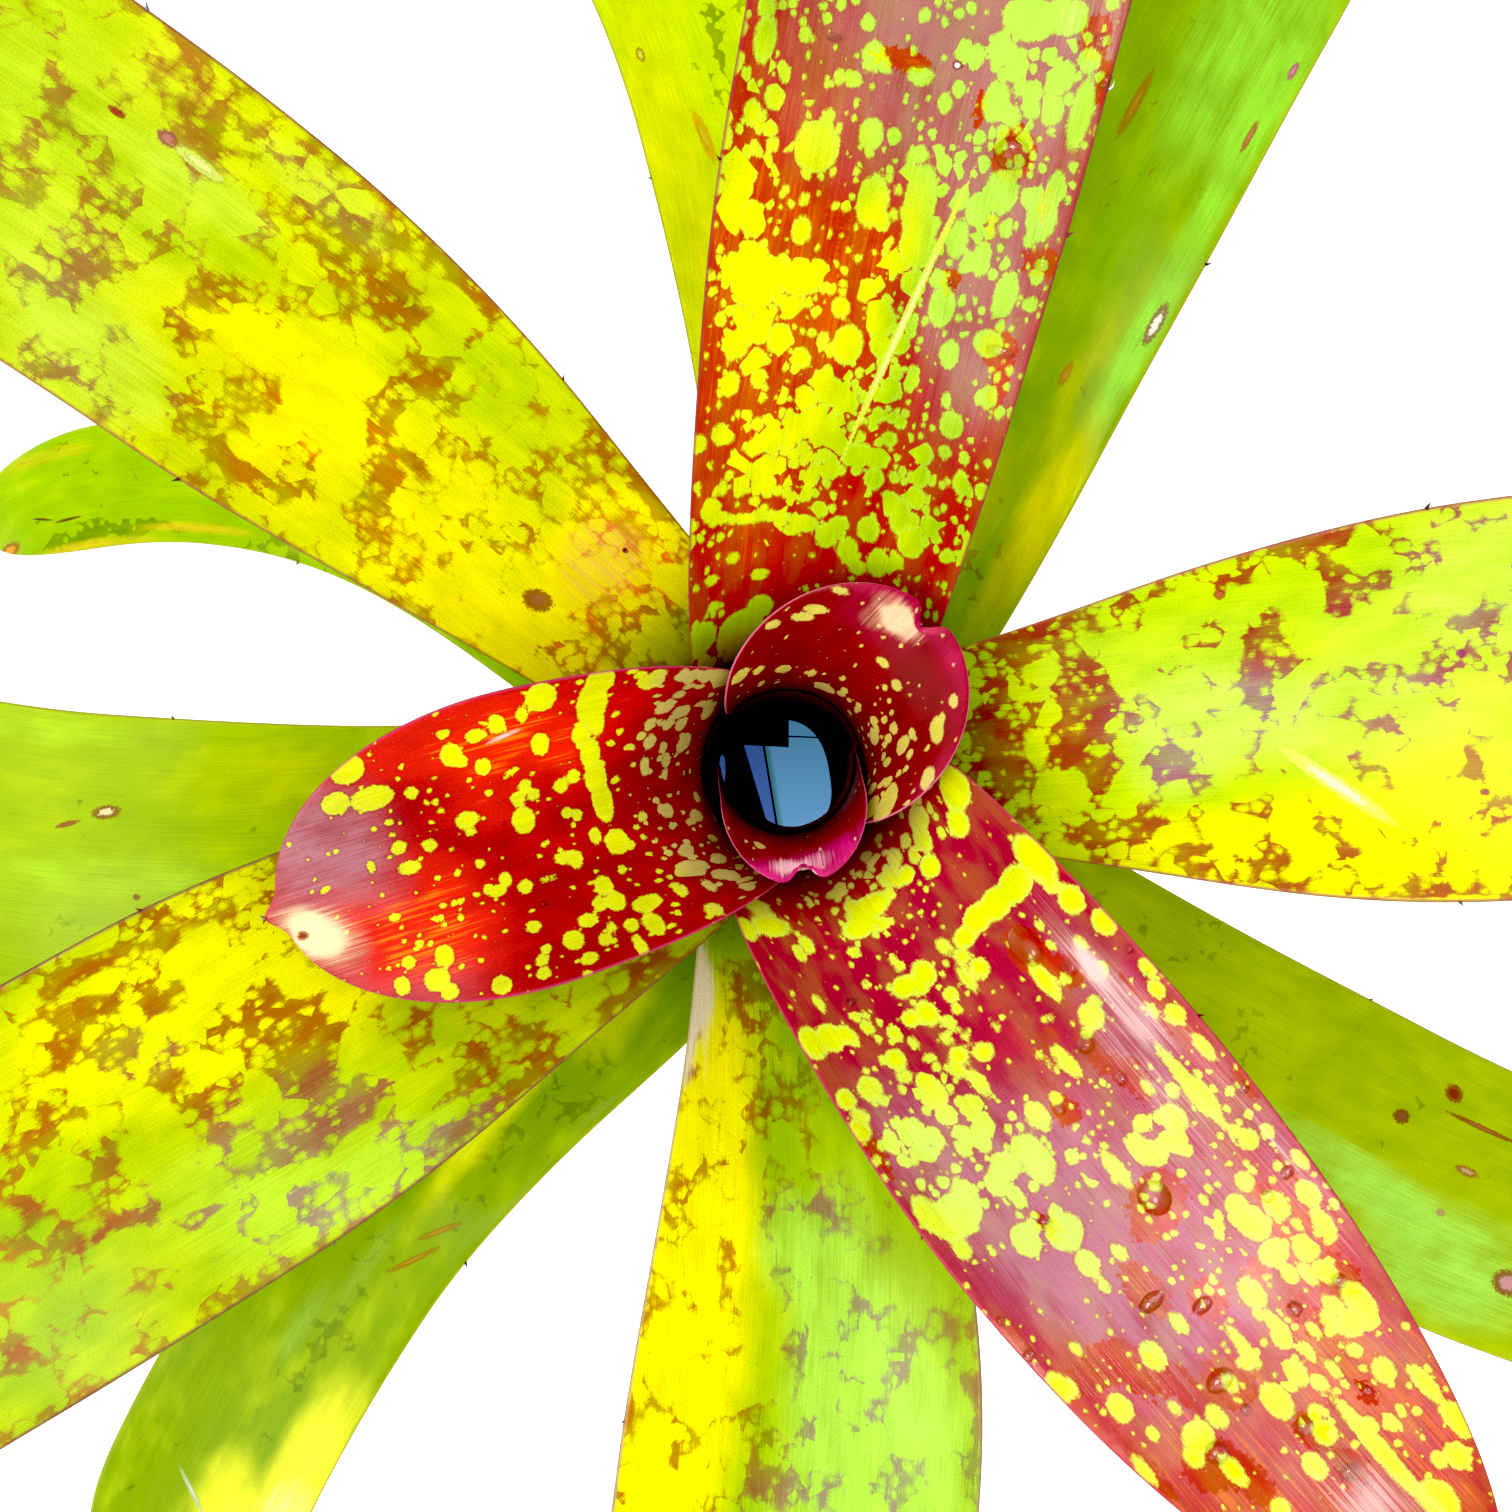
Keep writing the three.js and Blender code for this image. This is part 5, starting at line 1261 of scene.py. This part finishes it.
grow(
    "leaf_09", "blotched_leaf",
    leaf_sizes(
        layer=8, azimuth=274.5, sweep=-25, length=330, neck=82, rise=26, tip_rise=-7,
        neck_half=22.5, blade_half=37.5, tip=48),
    leaf_material(
        "bottom_leaf", seed=9, ground=("8E6014", "C07C08", "9A8C68"),
        spot=("A0C400", "FCF400", "B0E444"), edge="C0A070", pale="F4E4BC", rim="909010",
        scars_and_highlights=[(119, -29.8, 1.6, 1.0, 0, "E08090", "E8A8A8")], fade=1.0, thin="9A8C0C"),
    brown_spines, rows=190, columns=56, seed=9,
    tone=(0.67, [
        (108, -12, 8, 9, -0.35), (155, 4, 4.5, 4, -0.47), (142, -1, 4, 4, -0.33),
        (136, -11, 5, 5, -0.28), (146, -10, 3, 3, -0.28), (157, -10, 5, 2, -0.33),
        (183, -3, 6, 3, -0.47), (176, 12, 4, 3, -0.30), (168, -18, 9, 2.5, -0.33),
        (181, -15, 5, 2.5, -0.30), (200, 1, 3, 3, -0.33), (204, -8, 8, 3.5, -0.41),
        (211, -4, 4, 5, -0.36), (205, 22, 3, 6, -0.28), (197, 14, 5, 5, -0.19),
        (185, 20, 7, 3, -0.19), (190, 34, 4, 3, -0.28), (178, 28, 4, 3, -0.17),
        (120, -14, 8, 5, -0.30), (128, -4, 6, 6, -0.22), (205, -24, 6, 3, -0.22),
        (176, -26, 5, 2, -0.17), (150, -28, 4, 2, -0.17), (165, 14, 4, 3, -0.17),
        (225, 8, 8, 10, -0.28), (240, -10, 10, 8, -0.28), (250, 16, 10, 8, -0.25),
        (270, 0, 14, 12, -0.25)
    ]),
    warm=(0.0, [
        (140, -24, 30, 10, 0.9), (175, -26, 40, 14, 1.0), (205, -28, 30, 12, 0.8),
        (118, -18, 14, 8, 0.4)
    ]),
    bloom=(0.0, [
        (182, 6, 26, 9, 0.9), (200, 16, 26, 14, 0.95), (162, -4, 10, 7, 0.7),
        (205, 30, 14, 12, 0.5), (150, 8, 10, 6, 0.15), (225, 10, 20, 20, 0.5)
    ]),
    pale=(0.0, [(108, -25.5, 11, 5.0, 1.05), (122, -29, 8, 3.0, 0.9), (128, -22, 8, 4, 0.3)]))

# leaf_10 to leaf_16, the oldest, seated lowest on the stock with their sheaths outermost:
# plain green straps, brighter where they stand in the light, with yellow flanks and the
# brown-rimmed scars of old wounds.
GREEN_SPINES = spine_skin("green_spine", "5A2A10")


def green_leaf(number, sizes, greens, bloomed, marks, edge="C8C020", scars_and_highlights=(), rows=150, columns=40):
    """A plain leaf. greens are its dull, fresh and yellow green, bloomed the colour of its bloom
    and painted sheen where it shines, and marks its soft fields by name."""
    name = f"leaf_{number:02d}"
    dull, fresh, yellow = greens
    material = leaf_material(f"green_skin_{number}", number, (dull, yellow, bloomed),
                             (fresh, yellow, bloomed), edge, rim=dull, scars_and_highlights=scars_and_highlights)
    return grow(name, "green_leaf", sizes, material, GREEN_SPINES, rows, columns, number, **marks)


green_leaf(
    10,
    leaf_sizes(
        layer=9, azimuth=63, sweep=-3, length=320, neck=76, rise=17, tip_rise=-15, neck_half=31.5,
        blade_half=31, tip=48),
    greens=("828400", "8CB400", "E8E000"), bloomed="9CE434",
    marks={
        "tone": (0.9, [(110, -20, 14, 8, -0.2), (160, -16, 10, 4, -0.15)]),
        "warm": (0.0, [(125, -26, 24, 5, 0.8), (150, -18, 20, 3, 0.3), (122, -8, 16, 8, 0.5)]),
        "bloom": (0.0, [
            (200, -26, 40, 3, 0.8), (235, -18, 24, 14, 0.8), (165, -27, 14, 3, 0.7),
            (200, -12, 30, 6, 0.2)
        ]),
    },
    scars_and_highlights=[
        (174, -27.7, 5.0, 1.4, 0, "7A3A28", "FCF0E0"), (214, -0.5, 8, 1.1, 0, "A07818", "B08820"),
        (156, -15.4, 3, 1.0, 0, "B08018", "C89828"), (219, -26, 4, 0.7, 0, "A05830", "C88050"),
        (236, -27.5, 2.2, 0.8, 0, "B05870", "D08090")
    ])
green_leaf(
    11,
    leaf_sizes(
        layer=10, azimuth=194, sweep=-39, length=310, neck=70, rise=14, tip_rise=-20, neck_half=23,
        blade_half=33, tip=48),
    greens=("88A000", "A4C400", "DCDC00"), bloomed="B4E020",
    marks={
        "tone": (0.9, [(180, 12, 20, 5, -0.3), (205, 16, 14, 4, -0.25)]),
        "warm": (0.0, [(160, -18, 24, 8, 0.3)]),
        "bloom": (0.0, [(195, 4, 24, 4, 0.5), (215, -28, 20, 3, 0.5), (214, 8, 12, 8, 0.4)]),
    },
    scars_and_highlights=[
        (201, -10.5, 3.4, 1.5, 12, "84401C", "E8D8A0"), (210, -7, 3.0, 0.6, 20, "944C20", "A06030"),
        (193, 8.5, 0.8, 0.7, 0, "7A4A10", "8A5A20")
    ])
green_leaf(
    12,
    leaf_sizes(
        layer=11, azimuth=323, sweep=21, length=310, neck=68, rise=12, tip_rise=-22, neck_half=26,
        blade_half=31.5, tip=48),
    greens=("889C00", "A4BC00", "CCD400"), bloomed="A8E450",
    marks={
        "tone": (0.9, [(130, 22, 20, 8, -0.25), (170, 10, 20, 6, -0.15)]),
        "warm": (0.1, []),
        "bloom": (0.0, [
            (205, -8, 22, 5, 0.75), (232, -18, 22, 10, 0.85), (195, -2, 20, 2, 0.5),
            (235, -5, 20, 4, 0.35)
        ]),
    },
    scars_and_highlights=[
        (206, 10.8, 2.0, 1.7, 0, "7A3418", "8A5030"), (226.5, 5.8, 3.0, 1.1, 0, "A06030", "C0A070"),
        (214.5, 21, 2.6, 1.8, -20, "8A3418", "8A3418"),
        (225, 16.5, 9.5, 0.6, 0, "8A4018", "A86838"), (247, -14.5, 4.0, 3.0, 0, "8A3828", "C89090"),
        (225, -5.5, 1.2, 0.8, 0, "B09060", "C0A070")
    ])
green_leaf(
    13,
    leaf_sizes(
        layer=12, azimuth=85, sweep=43, length=303, neck=64, rise=9, tip_rise=-26, neck_half=21,
        blade_half=32, tip=48),
    greens=("84A400", "CCEC00", "F0F400"), bloomed="C8F460",
    marks={
        "tone": (0.95, [(200, 10, 30, 5, -0.35), (220, 0, 20, 8, -0.35)]),
        "warm": (0.15, [(180, 26, 50, 8, 0.6), (155, 20, 16, 4, 0.4)]),
    },
    scars_and_highlights=[(216, 26, 2.2, 1.0, 0, "B08818", "E0E040"), (190, 17, 7, 1.4, 8, "E0A818", "D8C020")])
green_leaf(
    14,
    leaf_sizes(
        layer=13, azimuth=224, sweep=27, length=300, neck=60, rise=11, tip_rise=-10, neck_half=35,
        blade_half=24.5, tip=48),
    greens=("749000", "8CAC00", "FCFC30"), bloomed="A0C848",
    marks={
        "tone": (0.85, [(150, 16, 40, 8, -0.2), (205, 8, 24, 5, -0.3), (120, 22, 18, 6, -0.15)]),
        "warm": (0.0, [
            (238, 19, 22, 7, 1.1), (252, 24, 18, 9, 0.9), (262, 10, 10, 8, 0.7),
            (253, 4, 10, 7, 0.6), (140, 9, 30, 3, 0.7), (105, 16, 12, 4, 0.4)
        ]),
        "bloom": (0.0, [(208, 1, 10, 2, 0.5), (190, 6, 16, 2, 0.3)]),
        "pale": (0.0, [(252, 20, 12, 8, 0.65)]),
    },
    scars_and_highlights=[
        (172, 15.5, 6.0, 0.7, -32, "A08018", "B89020"),
        (181, 14.5, 7.0, 0.7, -28, "A07818", "B89020"), (256, -3, 6, 0.6, 50, "B8C890", "D0D8B0")
    ])
green_leaf(
    15,
    leaf_sizes(
        layer=14, azimuth=5, sweep=0, length=275, neck=56, rise=4, tip_rise=-28, neck_half=26,
        blade_half=31, tip=48),
    greens=("6A9400", "86B000", "C8D800"), bloomed="A8D480",
    marks={"tone": (0.85, [(150, 5, 30, 12, -0.3)])})
green_leaf(
    16,
    leaf_sizes(
        layer=15, azimuth=145, sweep=54, length=277, neck=52, rise=-1, tip_rise=-33, neck_half=25,
        blade_half=16, tip=48),
    greens=("7CA000", "A0CC00", "E8D020"), bloomed="B0E878",
    marks={
        "tone": (0.85, [(225, 12, 30, 3, -0.6), (160, 14, 14, 4, -0.4)]),
        "warm": (0.0, [(195, 12, 16, 1.2, 0.9), (240, 15, 26, 1.5, 0.8), (245, -11, 16, 2, 0.5)]),
    },
    scars_and_highlights=[
        (266, 9.5, 5.0, 1.8, 0, "A85818", "F0A020"), (240, 7, 5.0, 0.4, 0, "6A4A10", "6A4A10"),
        (250, 5, 4.0, 0.35, -15, "6A4A10", "6A4A10")
    ])


# The water in the cup: still, and painted near black for the deep shade it stands in, far down
# the tube of sheaths. It wets the wall all round, so its side follows the innermost sheaths, and
# its face is level and mirrors what is overhead. Leaf litter clouds it, and its rim is painted
# the dark red of the shaded wall, as the wall is seen in the water there.
WATER_Z, WATER_FOOT_Z = 0.110, 0.045
WATER_SIDES = 120
WALL_GAP, REACH, OPEN_R = 0.0001, 0.05, 0.02
SHADED_MURK, MURK_BROWN = (0.0006, 0.0008, 0.0010, 1), (0.004, 0.003, 0.003, 1)
WALL_RED = (0.085, 0.003, 0.006, 1)
WATER_IOR = 1.333


def bvh_of(objects):
    points, faces = [], []
    for item in objects:
        start = len(points)
        points += [v.co.copy() for v in item.data.vertices]
        faces += [[start + i for i in p.vertices] for p in item.data.polygons]
    return BVHTree.FromPolygons(points, faces)


sheath_walls = bvh_of([inner_hood, outer_hood, short_leaf, big_leaf])


def wall_radius(turn, height):
    """How far the innermost sheath stands from the axis, this way and at this height."""
    out = Vector((math.cos(turn), math.sin(turn), 0))
    hit, _, _, far = sheath_walls.ray_cast(Vector((0, 0, height)), out, REACH)
    return (far if hit else OPEN_R) - WALL_GAP


def ring_faces(first, rings, sides, foot, top):
    """Faces of a closed turned form: its rings of points from first on, and its two poles."""
    faces = []
    for k in range(sides):
        after = (k + 1) % sides
        faces.append((foot, first + after, first + k))
        for i in range(rings - 1):
            low_ring, high_ring = first + i * sides, first + (i + 1) * sides
            faces.append((low_ring + k, low_ring + after, high_ring + after, high_ring + k))
        last_ring = first + (rings - 1) * sides
        faces.append((last_ring + k, last_ring + after, top))
    return faces


# Heights up the wall, and how far the water stands back from it at each of them.
BACK, BACK_BY_RIM = 0.0002, 0.0001
wall_steps = [(z, BACK) for z in (WATER_FOOT_Z, 0.048, 0.053, 0.060, 0.080)]
wall_steps += [(0.100, BACK_BY_RIM), (WATER_Z, 0.0)]
water_turns = [2 * math.pi * k / WATER_SIDES for k in range(WATER_SIDES)]
rings = [[(wall_radius(turn, z) - back, z) for turn in water_turns] for z, back in wall_steps]
inner_shares = (0.9, 0.8, 0.6, 0.4, 0.2)
rings += [[(r * share, WATER_Z) for r, _ in rings[-1]] for share in inner_shares]
water_points = [(r * math.cos(turn), r * math.sin(turn), z)
                for ring in rings for (r, z), turn in zip(ring, water_turns)]
foot = len(water_points)
water_points += [(0, 0, WATER_FOOT_Z), (0, 0, WATER_Z)]
water_mesh = bpy.data.meshes.new("water")
water_mesh.from_pydata(water_points, [], ring_faces(0, len(rings), WATER_SIDES, foot, foot + 1))
near_wall = [1.0] * len(wall_steps) + list(inner_shares)
near_wall = [share for share in near_wall for _ in range(WATER_SIDES)] + [0.0, 0.0]
keep_on_points(water_mesh, "near_wall", near_wall)
water = new_object("water", water_mesh)

water_material, water_tree, water_shader = new_material("cup_water")
here = add(water_tree, "ShaderNodeTexCoord", out="Object")
murk = add(water_tree, "ShaderNodeTexNoise", here, named={"Scale": 90.0, "Detail": 2.0})
murk_colour = blend(SHADED_MURK, MURK_BROWN, smooth(0.4, 0.8, murk))
by_wall = add(water_tree, "ShaderNodeAttribute", attribute_name="near_wall", out="Fac")
by_wall = smooth(0.74, 1.04, by_wall + (murk - 0.5) * 0.12)
# Painted: near the wall the water takes the dark red of the shaded wall.
blend(murk_colour, WALL_RED, by_wall).feed(water_shader.inputs["Base Color"])
water_shader.inputs["Roughness"].default_value = 0.0
water_shader.inputs["IOR"].default_value = WATER_IOR
water_shader.inputs["Specular IOR Level"].default_value = 0.5
water_mesh.materials.append(water_material)
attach(water, "root")
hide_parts("tank_water")

# Dew: drops of clear water that sit on the red leaves, drawn out a little along the blade.
# Each is a flattened bead, sunk a little in the leaf so that it wets it all round.
BEAD_SEGMENTS, BEAD_RINGS, BEAD_SUNK, BEAD_HEIGHT = 28, 14, 0.25, 0.62
OBJECT = "NodeSocketObject"
dew_tree, dew, dew_out = new_group("dew", "GeometryNodeTree", [
    ("Points", OBJECT, None), ("Segments", INT, BEAD_SEGMENTS), ("Rings", INT, BEAD_RINGS),
    ("Sunk", FLOAT, BEAD_SUNK), ("Water", MATERIAL, None),
], [("Geometry", GEOMETRY)])
dew_seats = add(dew_tree, "GeometryNodeObjectInfo", dew["Points"], out="Geometry")
bead = add(dew_tree, "GeometryNodeMeshUVSphere", dew["Segments"], dew["Rings"], 1.0)
bead = add(dew_tree, "GeometryNodeTransform", bead, vector(dew_tree, 0.0, 0.0, -dew["Sunk"]))
seat_out = read(dew_tree, "seat_out", "FLOAT_VECTOR")
seat_ahead = read(dew_tree, "seat_ahead", "FLOAT_VECTOR")
bead_turn = add(dew_tree, "FunctionNodeAxesToRotation", seat_out, seat_ahead, primary_axis="Z",
                secondary_axis="Y")
beads = add(dew_tree, "GeometryNodeInstanceOnPoints", dew_seats, None, bead, None, None,
            bead_turn, read(dew_tree, "bead_size", "FLOAT_VECTOR"))
beads = add(dew_tree, "GeometryNodeRealizeInstances", beads)
beads = add(dew_tree, "GeometryNodeSetShadeSmooth", beads)
beads = add(dew_tree, "GeometryNodeSetMaterial", beads, None, dew["Water"])
beads.feed(dew_out.inputs["Geometry"])

dew_material, _, dew_shader = new_material("clear_water")
dew_shader.inputs["Base Color"].default_value = WHITE
dew_shader.inputs["Roughness"].default_value = 0.0
dew_shader.inputs["IOR"].default_value = WATER_IOR
dew_shader.inputs["Transmission Weight"].default_value = 1.0


def beads_on(leaf_piece, name, drops):
    """Drops on a leaf, each given by its place along and across it and its half sizes, in mm."""
    mesh = leaf_piece.data
    across, along, _ = on_points(mesh, "leaf_place").astype(float)
    ahead = on_points(mesh, "forward").T
    below = 1000.0 * (on_points(mesh, "under")[0] > 0.25)
    seats, outs, aheads, sizes = [], [], [], []
    for at_s, at_x, half_s, half_x in drops:
        nearest = int(np.argmin(np.hypot(along - at_s, across - at_x) + below))
        seats.append(mesh.vertices[nearest].co.copy())
        outs.append(mesh.vertices[nearest].normal.copy())
        aheads.append(ahead[nearest].tolist())
        height = BEAD_HEIGHT * min(half_s, half_x)
        sizes.append((half_x / 1000, half_s / 1000, height / 1000))
    seat_mesh = bpy.data.meshes.new(name + "_seats")
    seat_mesh.from_pydata(seats, [], [])
    for label, values in (("seat_out", outs), ("seat_ahead", aheads), ("bead_size", sizes)):
        layer = seat_mesh.attributes.new(label, "FLOAT_VECTOR", "POINT")
        layer.data.foreach_set("vector", [c for v in values for c in v])
    seat_object = new_object(name + "_seats", seat_mesh)
    piece = made_by(dew_tree, name, {
        "Points": seat_object, "Segments": BEAD_SEGMENTS, "Rings": BEAD_RINGS,
        "Sunk": BEAD_SUNK, "Water": dew_material})
    bpy.data.objects.remove(seat_object)
    piece.visible_shadow = False
    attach(piece, "root")


beads_on(
    big_leaf, "dew_on_leaf_04",
    [
        (139, 17, 5, 3.3), (148, 21, 2, 1.8), (126.6, -19, 1.2, 1.2), (161.5, 14.3, 2, 2),
        (172, 15.5, 1.5, 1.5), (169, 2, 1.2, 1.2), (193, 5.5, 3.5, 3.2), (204, 27.3, 1.2, 1.8),
        (205, 21.5, 1.3, 1.3), (206, -7.5, 1.6, 3), (212, 0, 1.4, 2.2), (223.5, -6.5, 2, 3),
        (238.5, -0.5, 1.8, 1.8), (249, 0.3, 1.5, 2), (232, -16, 2.2, 2.2), (183, -13.8, 1.2, 1.2),
        (187.5, 32, 1.3, 1.3), (193, -32, 1, 1), (199.5, -32, 1.2, 1.2), (224, 22, 1.5, 1.5),
        (241, 12, 1, 1), (230, -6.5, 1.2, 1.2), (223, 12.5, 1.5, 1.5), (160, 32, 1, 1),
        (154, 33, 1, 1)
    ])
beads_on(
    upper_leaf, "dew_on_leaf_05",
    [
        (207, -20, 3, 3.6), (172, -27, 1.2, 3), (189.5, -30.5, 1.4, 1.6), (222, -33, 1.4, 1.4),
        (181.5, -14, 1, 1), (219, 17, 0.8, 1.5), (229, -30, 1.5, 1.5), (201, -31, 1, 1),
        (239, -29, 1.6, 1.3)
    ])
beads_on(
    short_leaf, "dew_on_leaf_03",
    [
        (143.4, -4.2, 0.7, 0.5), (139.8, 13.8, 0.5, 0.9), (102.7, 12.4, 1.6, 0.5),
        (99.7, -4.2, 0.8, 1)
    ])

# The stock: the short woody stem inside the foot of the rosette, cut off flat, with the rings
# of old leaf scars round it. It is fibrous wood, and all the leaves grow from it.
STOCK_FOOT_R, STOCK_FOOT_Z, STOCK_EDGE = 0.017, 0.012, 0.0008
LAYERS, SEAT_GAP, SEAT_ANGLE = 16, 0.00032, math.radians(10)
STOCK_SIDES, FOOT_RINGS, SEAT_RINGS = 144, 16, 44
FIBRE_DEPTH, BAND_DEPTH, BAND_PITCH = 0.00016, 0.00014, 0.0021
stock_profile = [
    (0.0, 0.0), (0.004, 0.0), (0.009, 0.0), (0.013, 0.0), (STOCK_FOOT_R - STOCK_EDGE, 0.0),
    (STOCK_FOOT_R - 0.0002, STOCK_EDGE * 0.4), (STOCK_FOOT_R, STOCK_EDGE)]
stock_profile += [(STOCK_FOOT_R, STOCK_EDGE + (STOCK_FOOT_Z - STOCK_EDGE) * (i + 1) / FOOT_RINGS)
                  for i in range(FOOT_RINGS)]
for i in range(SEAT_RINGS + 1):
    layer = (LAYERS - 1) * (1 - i / SEAT_RINGS)
    seat_r = (STOCK_TOP_R + NODE_WIDEN * layer) * math.cos(SEAT_ANGLE) - SEAT_GAP
    stock_profile.append((seat_r, STOCK_TOP_Z - NODE_DROP * layer))
stock_profile += [(0.0034, STOCK_TOP_Z + 0.0012), (0.0016, STOCK_TOP_Z + 0.0016),
                  (0.0, STOCK_TOP_Z + 0.0018)]
stock_points = [(0, 0, 0)]
for r, z in stock_profile[1:-1]:
    for k in range(STOCK_SIDES):
        turn = 2 * math.pi * k / STOCK_SIDES
        fibre = math.sin(17 * turn + 2 * math.sin(3 * turn)) * 0.6 + math.sin(41 * turn + 90 * z) * 0.4
        band = math.sin(z / BAND_PITCH * 2 * math.pi + 0.8 * math.sin(2 * turn))
        dent = FIBRE_DEPTH * (fibre - 1) + BAND_DEPTH * (band - 1)
        dent = dent * min(1, z / 0.0006) * min(1, r / 0.006)
        stock_points.append(((r + dent) * math.cos(turn), (r + dent) * math.sin(turn), z))
stock_points.append((0, 0, stock_profile[-1][1]))
stock_faces = ring_faces(1, len(stock_profile) - 2, STOCK_SIDES, 0, len(stock_points) - 1)
stock_mesh = bpy.data.meshes.new("woody_stock")
stock_mesh.from_pydata(stock_points, [], stock_faces)
stock_mesh.shade_smooth()
woody_stock = new_object("woody_stock", stock_mesh)

WOOD_ROUGH, WOOD_RELIEF, WOOD_RELIEF_DEPTH = 0.85, 0.6, 0.0006
CORE_R, BARK_R = 0.0125, 0.0155


def woody_material(name, dark, light, cut=None):
    """Fibrous wood, from a dark and a light brown. A stock cut off flat at its foot also shows
    its paler cut face, dotted with bundles of fibre and browner toward the bark."""
    material, tree, shader = new_material(name)
    here = add(tree, "ShaderNodeTexCoord", out="Object")
    x, y, z = parts_of(here)
    drawn_out = vector(tree, x, y, z * 0.2)
    wood_grain = add(tree, "ShaderNodeTexNoise", drawn_out, named={"Scale": 900.0, "Detail": 3.0})
    blotch = add(tree, "ShaderNodeTexNoise", here, named={"Scale": 160.0, "Detail": 2.0})
    browns = smooth(0.35, 0.7, wood_grain * 0.6 + blotch * 0.4)
    colour = blend(ink(dark), ink(light), browns)
    if cut:
        bundles = add(tree, "ShaderNodeTexVoronoi", here, named={"Scale": 900.0}, out="Distance")
        toward_bark = smooth(CORE_R, BARK_R, (x * x + y * y).math("SQRT"))
        browned = smooth(0.35, 0.15, bundles) * 0.6 + toward_bark * 0.5
        colour = blend(blend(ink(cut), ink(light), browned), colour, smooth(0.0001, 0.0004, z))
    colour.feed(shader.inputs["Base Color"])
    shader.inputs["Roughness"].default_value = WOOD_ROUGH
    relief = add(tree, "ShaderNodeBump", named={
        "Strength": WOOD_RELIEF, "Distance": WOOD_RELIEF_DEPTH, "Height": wood_grain})
    relief.feed(shader.inputs["Normal"])
    return material


stock_mesh.materials.append(woody_material("woody_stock", "4A3018", "A07C50", cut="D8C49A"))
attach(woody_stock, "root")
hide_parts("stock")

# The roots: nine wiry roots cut off short, in a ring round the foot of the stock at three
# heights. Each is a knobbly, woody, tapering stub that is grown into the stock.
ROOT_COUNT, ROOT_TIERS = 9, 3
ROOT_R, ROOT_LENGTH, ROOT_SUNK, ROOT_TAPER = 0.0015, 0.008, 0.004, 0.8
ROOT_LOWEST, ROOT_TIER, ROOT_SAG, ROOT_UNEVEN = 0.0045, 0.0027, 0.12, 0.35
ROOT_SEAT_R, KNOB = STOCK_FOOT_R - 0.0005, 0.0002
root_sizes = {
    "Radius": ROOT_R, "Length": ROOT_LENGTH, "Sunk": ROOT_SUNK, "Foot radius": ROOT_SEAT_R,
    "Lowest": ROOT_LOWEST, "Tier": ROOT_TIER, "Tiers": float(ROOT_TIERS), "Sag": ROOT_SAG,
    "Knobs": KNOB}
root_tree, root, root_out = new_group("cut_roots", "GeometryNodeTree", [
    ("Count", INT, ROOT_COUNT), *((label, FLOAT, size) for label, size in root_sizes.items()),
    ("Bark", MATERIAL, None),
], [("Geometry", GEOMETRY)])
stub = add(root_tree, "GeometryNodeMeshCone", 20, 14, 3, root["Radius"] * ROOT_TAPER,
           root["Radius"], root["Length"] + root["Sunk"], fill_type="TRIANGLE_FAN")
stub = add(root_tree, "GeometryNodeTransform", stub, vector(root_tree, 0.0, 0.0, -root["Sunk"]))
number = add(root_tree, "GeometryNodeInputIndex")
around_foot = number / root["Count"] * (2 * math.pi) + (number * 5.0).math("SINE") * ROOT_UNEVEN
tier = number.math("MODULO", root["Tiers"])
root_seat = vector(root_tree, around_foot.math("COSINE") * root["Foot radius"],
                   around_foot.math("SINE") * root["Foot radius"],
                   root["Lowest"] + tier * root["Tier"])
root_seats = add(root_tree, "GeometryNodeMeshLine", root["Count"])
root_seats = add(root_tree, "GeometryNodeSetPosition", root_seats, None, root_seat)
lying = vector(root_tree, 0.0, root["Sag"] + math.pi / 2, around_foot)
root_turn = add(root_tree, "FunctionNodeEulerToRotation", lying)
roots = add(root_tree, "GeometryNodeInstanceOnPoints", root_seats, None, stub, None, None,
            root_turn)
roots = add(root_tree, "GeometryNodeRealizeInstances", roots)
knob = add(root_tree, "ShaderNodeTexNoise", None, named={"Scale": 520.0, "Detail": 1.0})
root_outward = add(root_tree, "GeometryNodeInputNormal")
roots = add(root_tree, "GeometryNodeSetPosition", roots, None, None,
            scaled(root_outward, (knob - 0.55) * root["Knobs"] * 2.0))
roots = add(root_tree, "GeometryNodeSetShadeSmooth", roots)
roots = add(root_tree, "GeometryNodeSetMaterial", roots, None, root["Bark"])
roots.feed(root_out.inputs["Geometry"])
root_stubs = made_by(root_tree, "root_stubs", {
    "Count": ROOT_COUNT, **root_sizes, "Bark": woody_material("root_bark", "2E1C10", "6E4C2C")})
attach(root_stubs, "root")
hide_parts("stock")
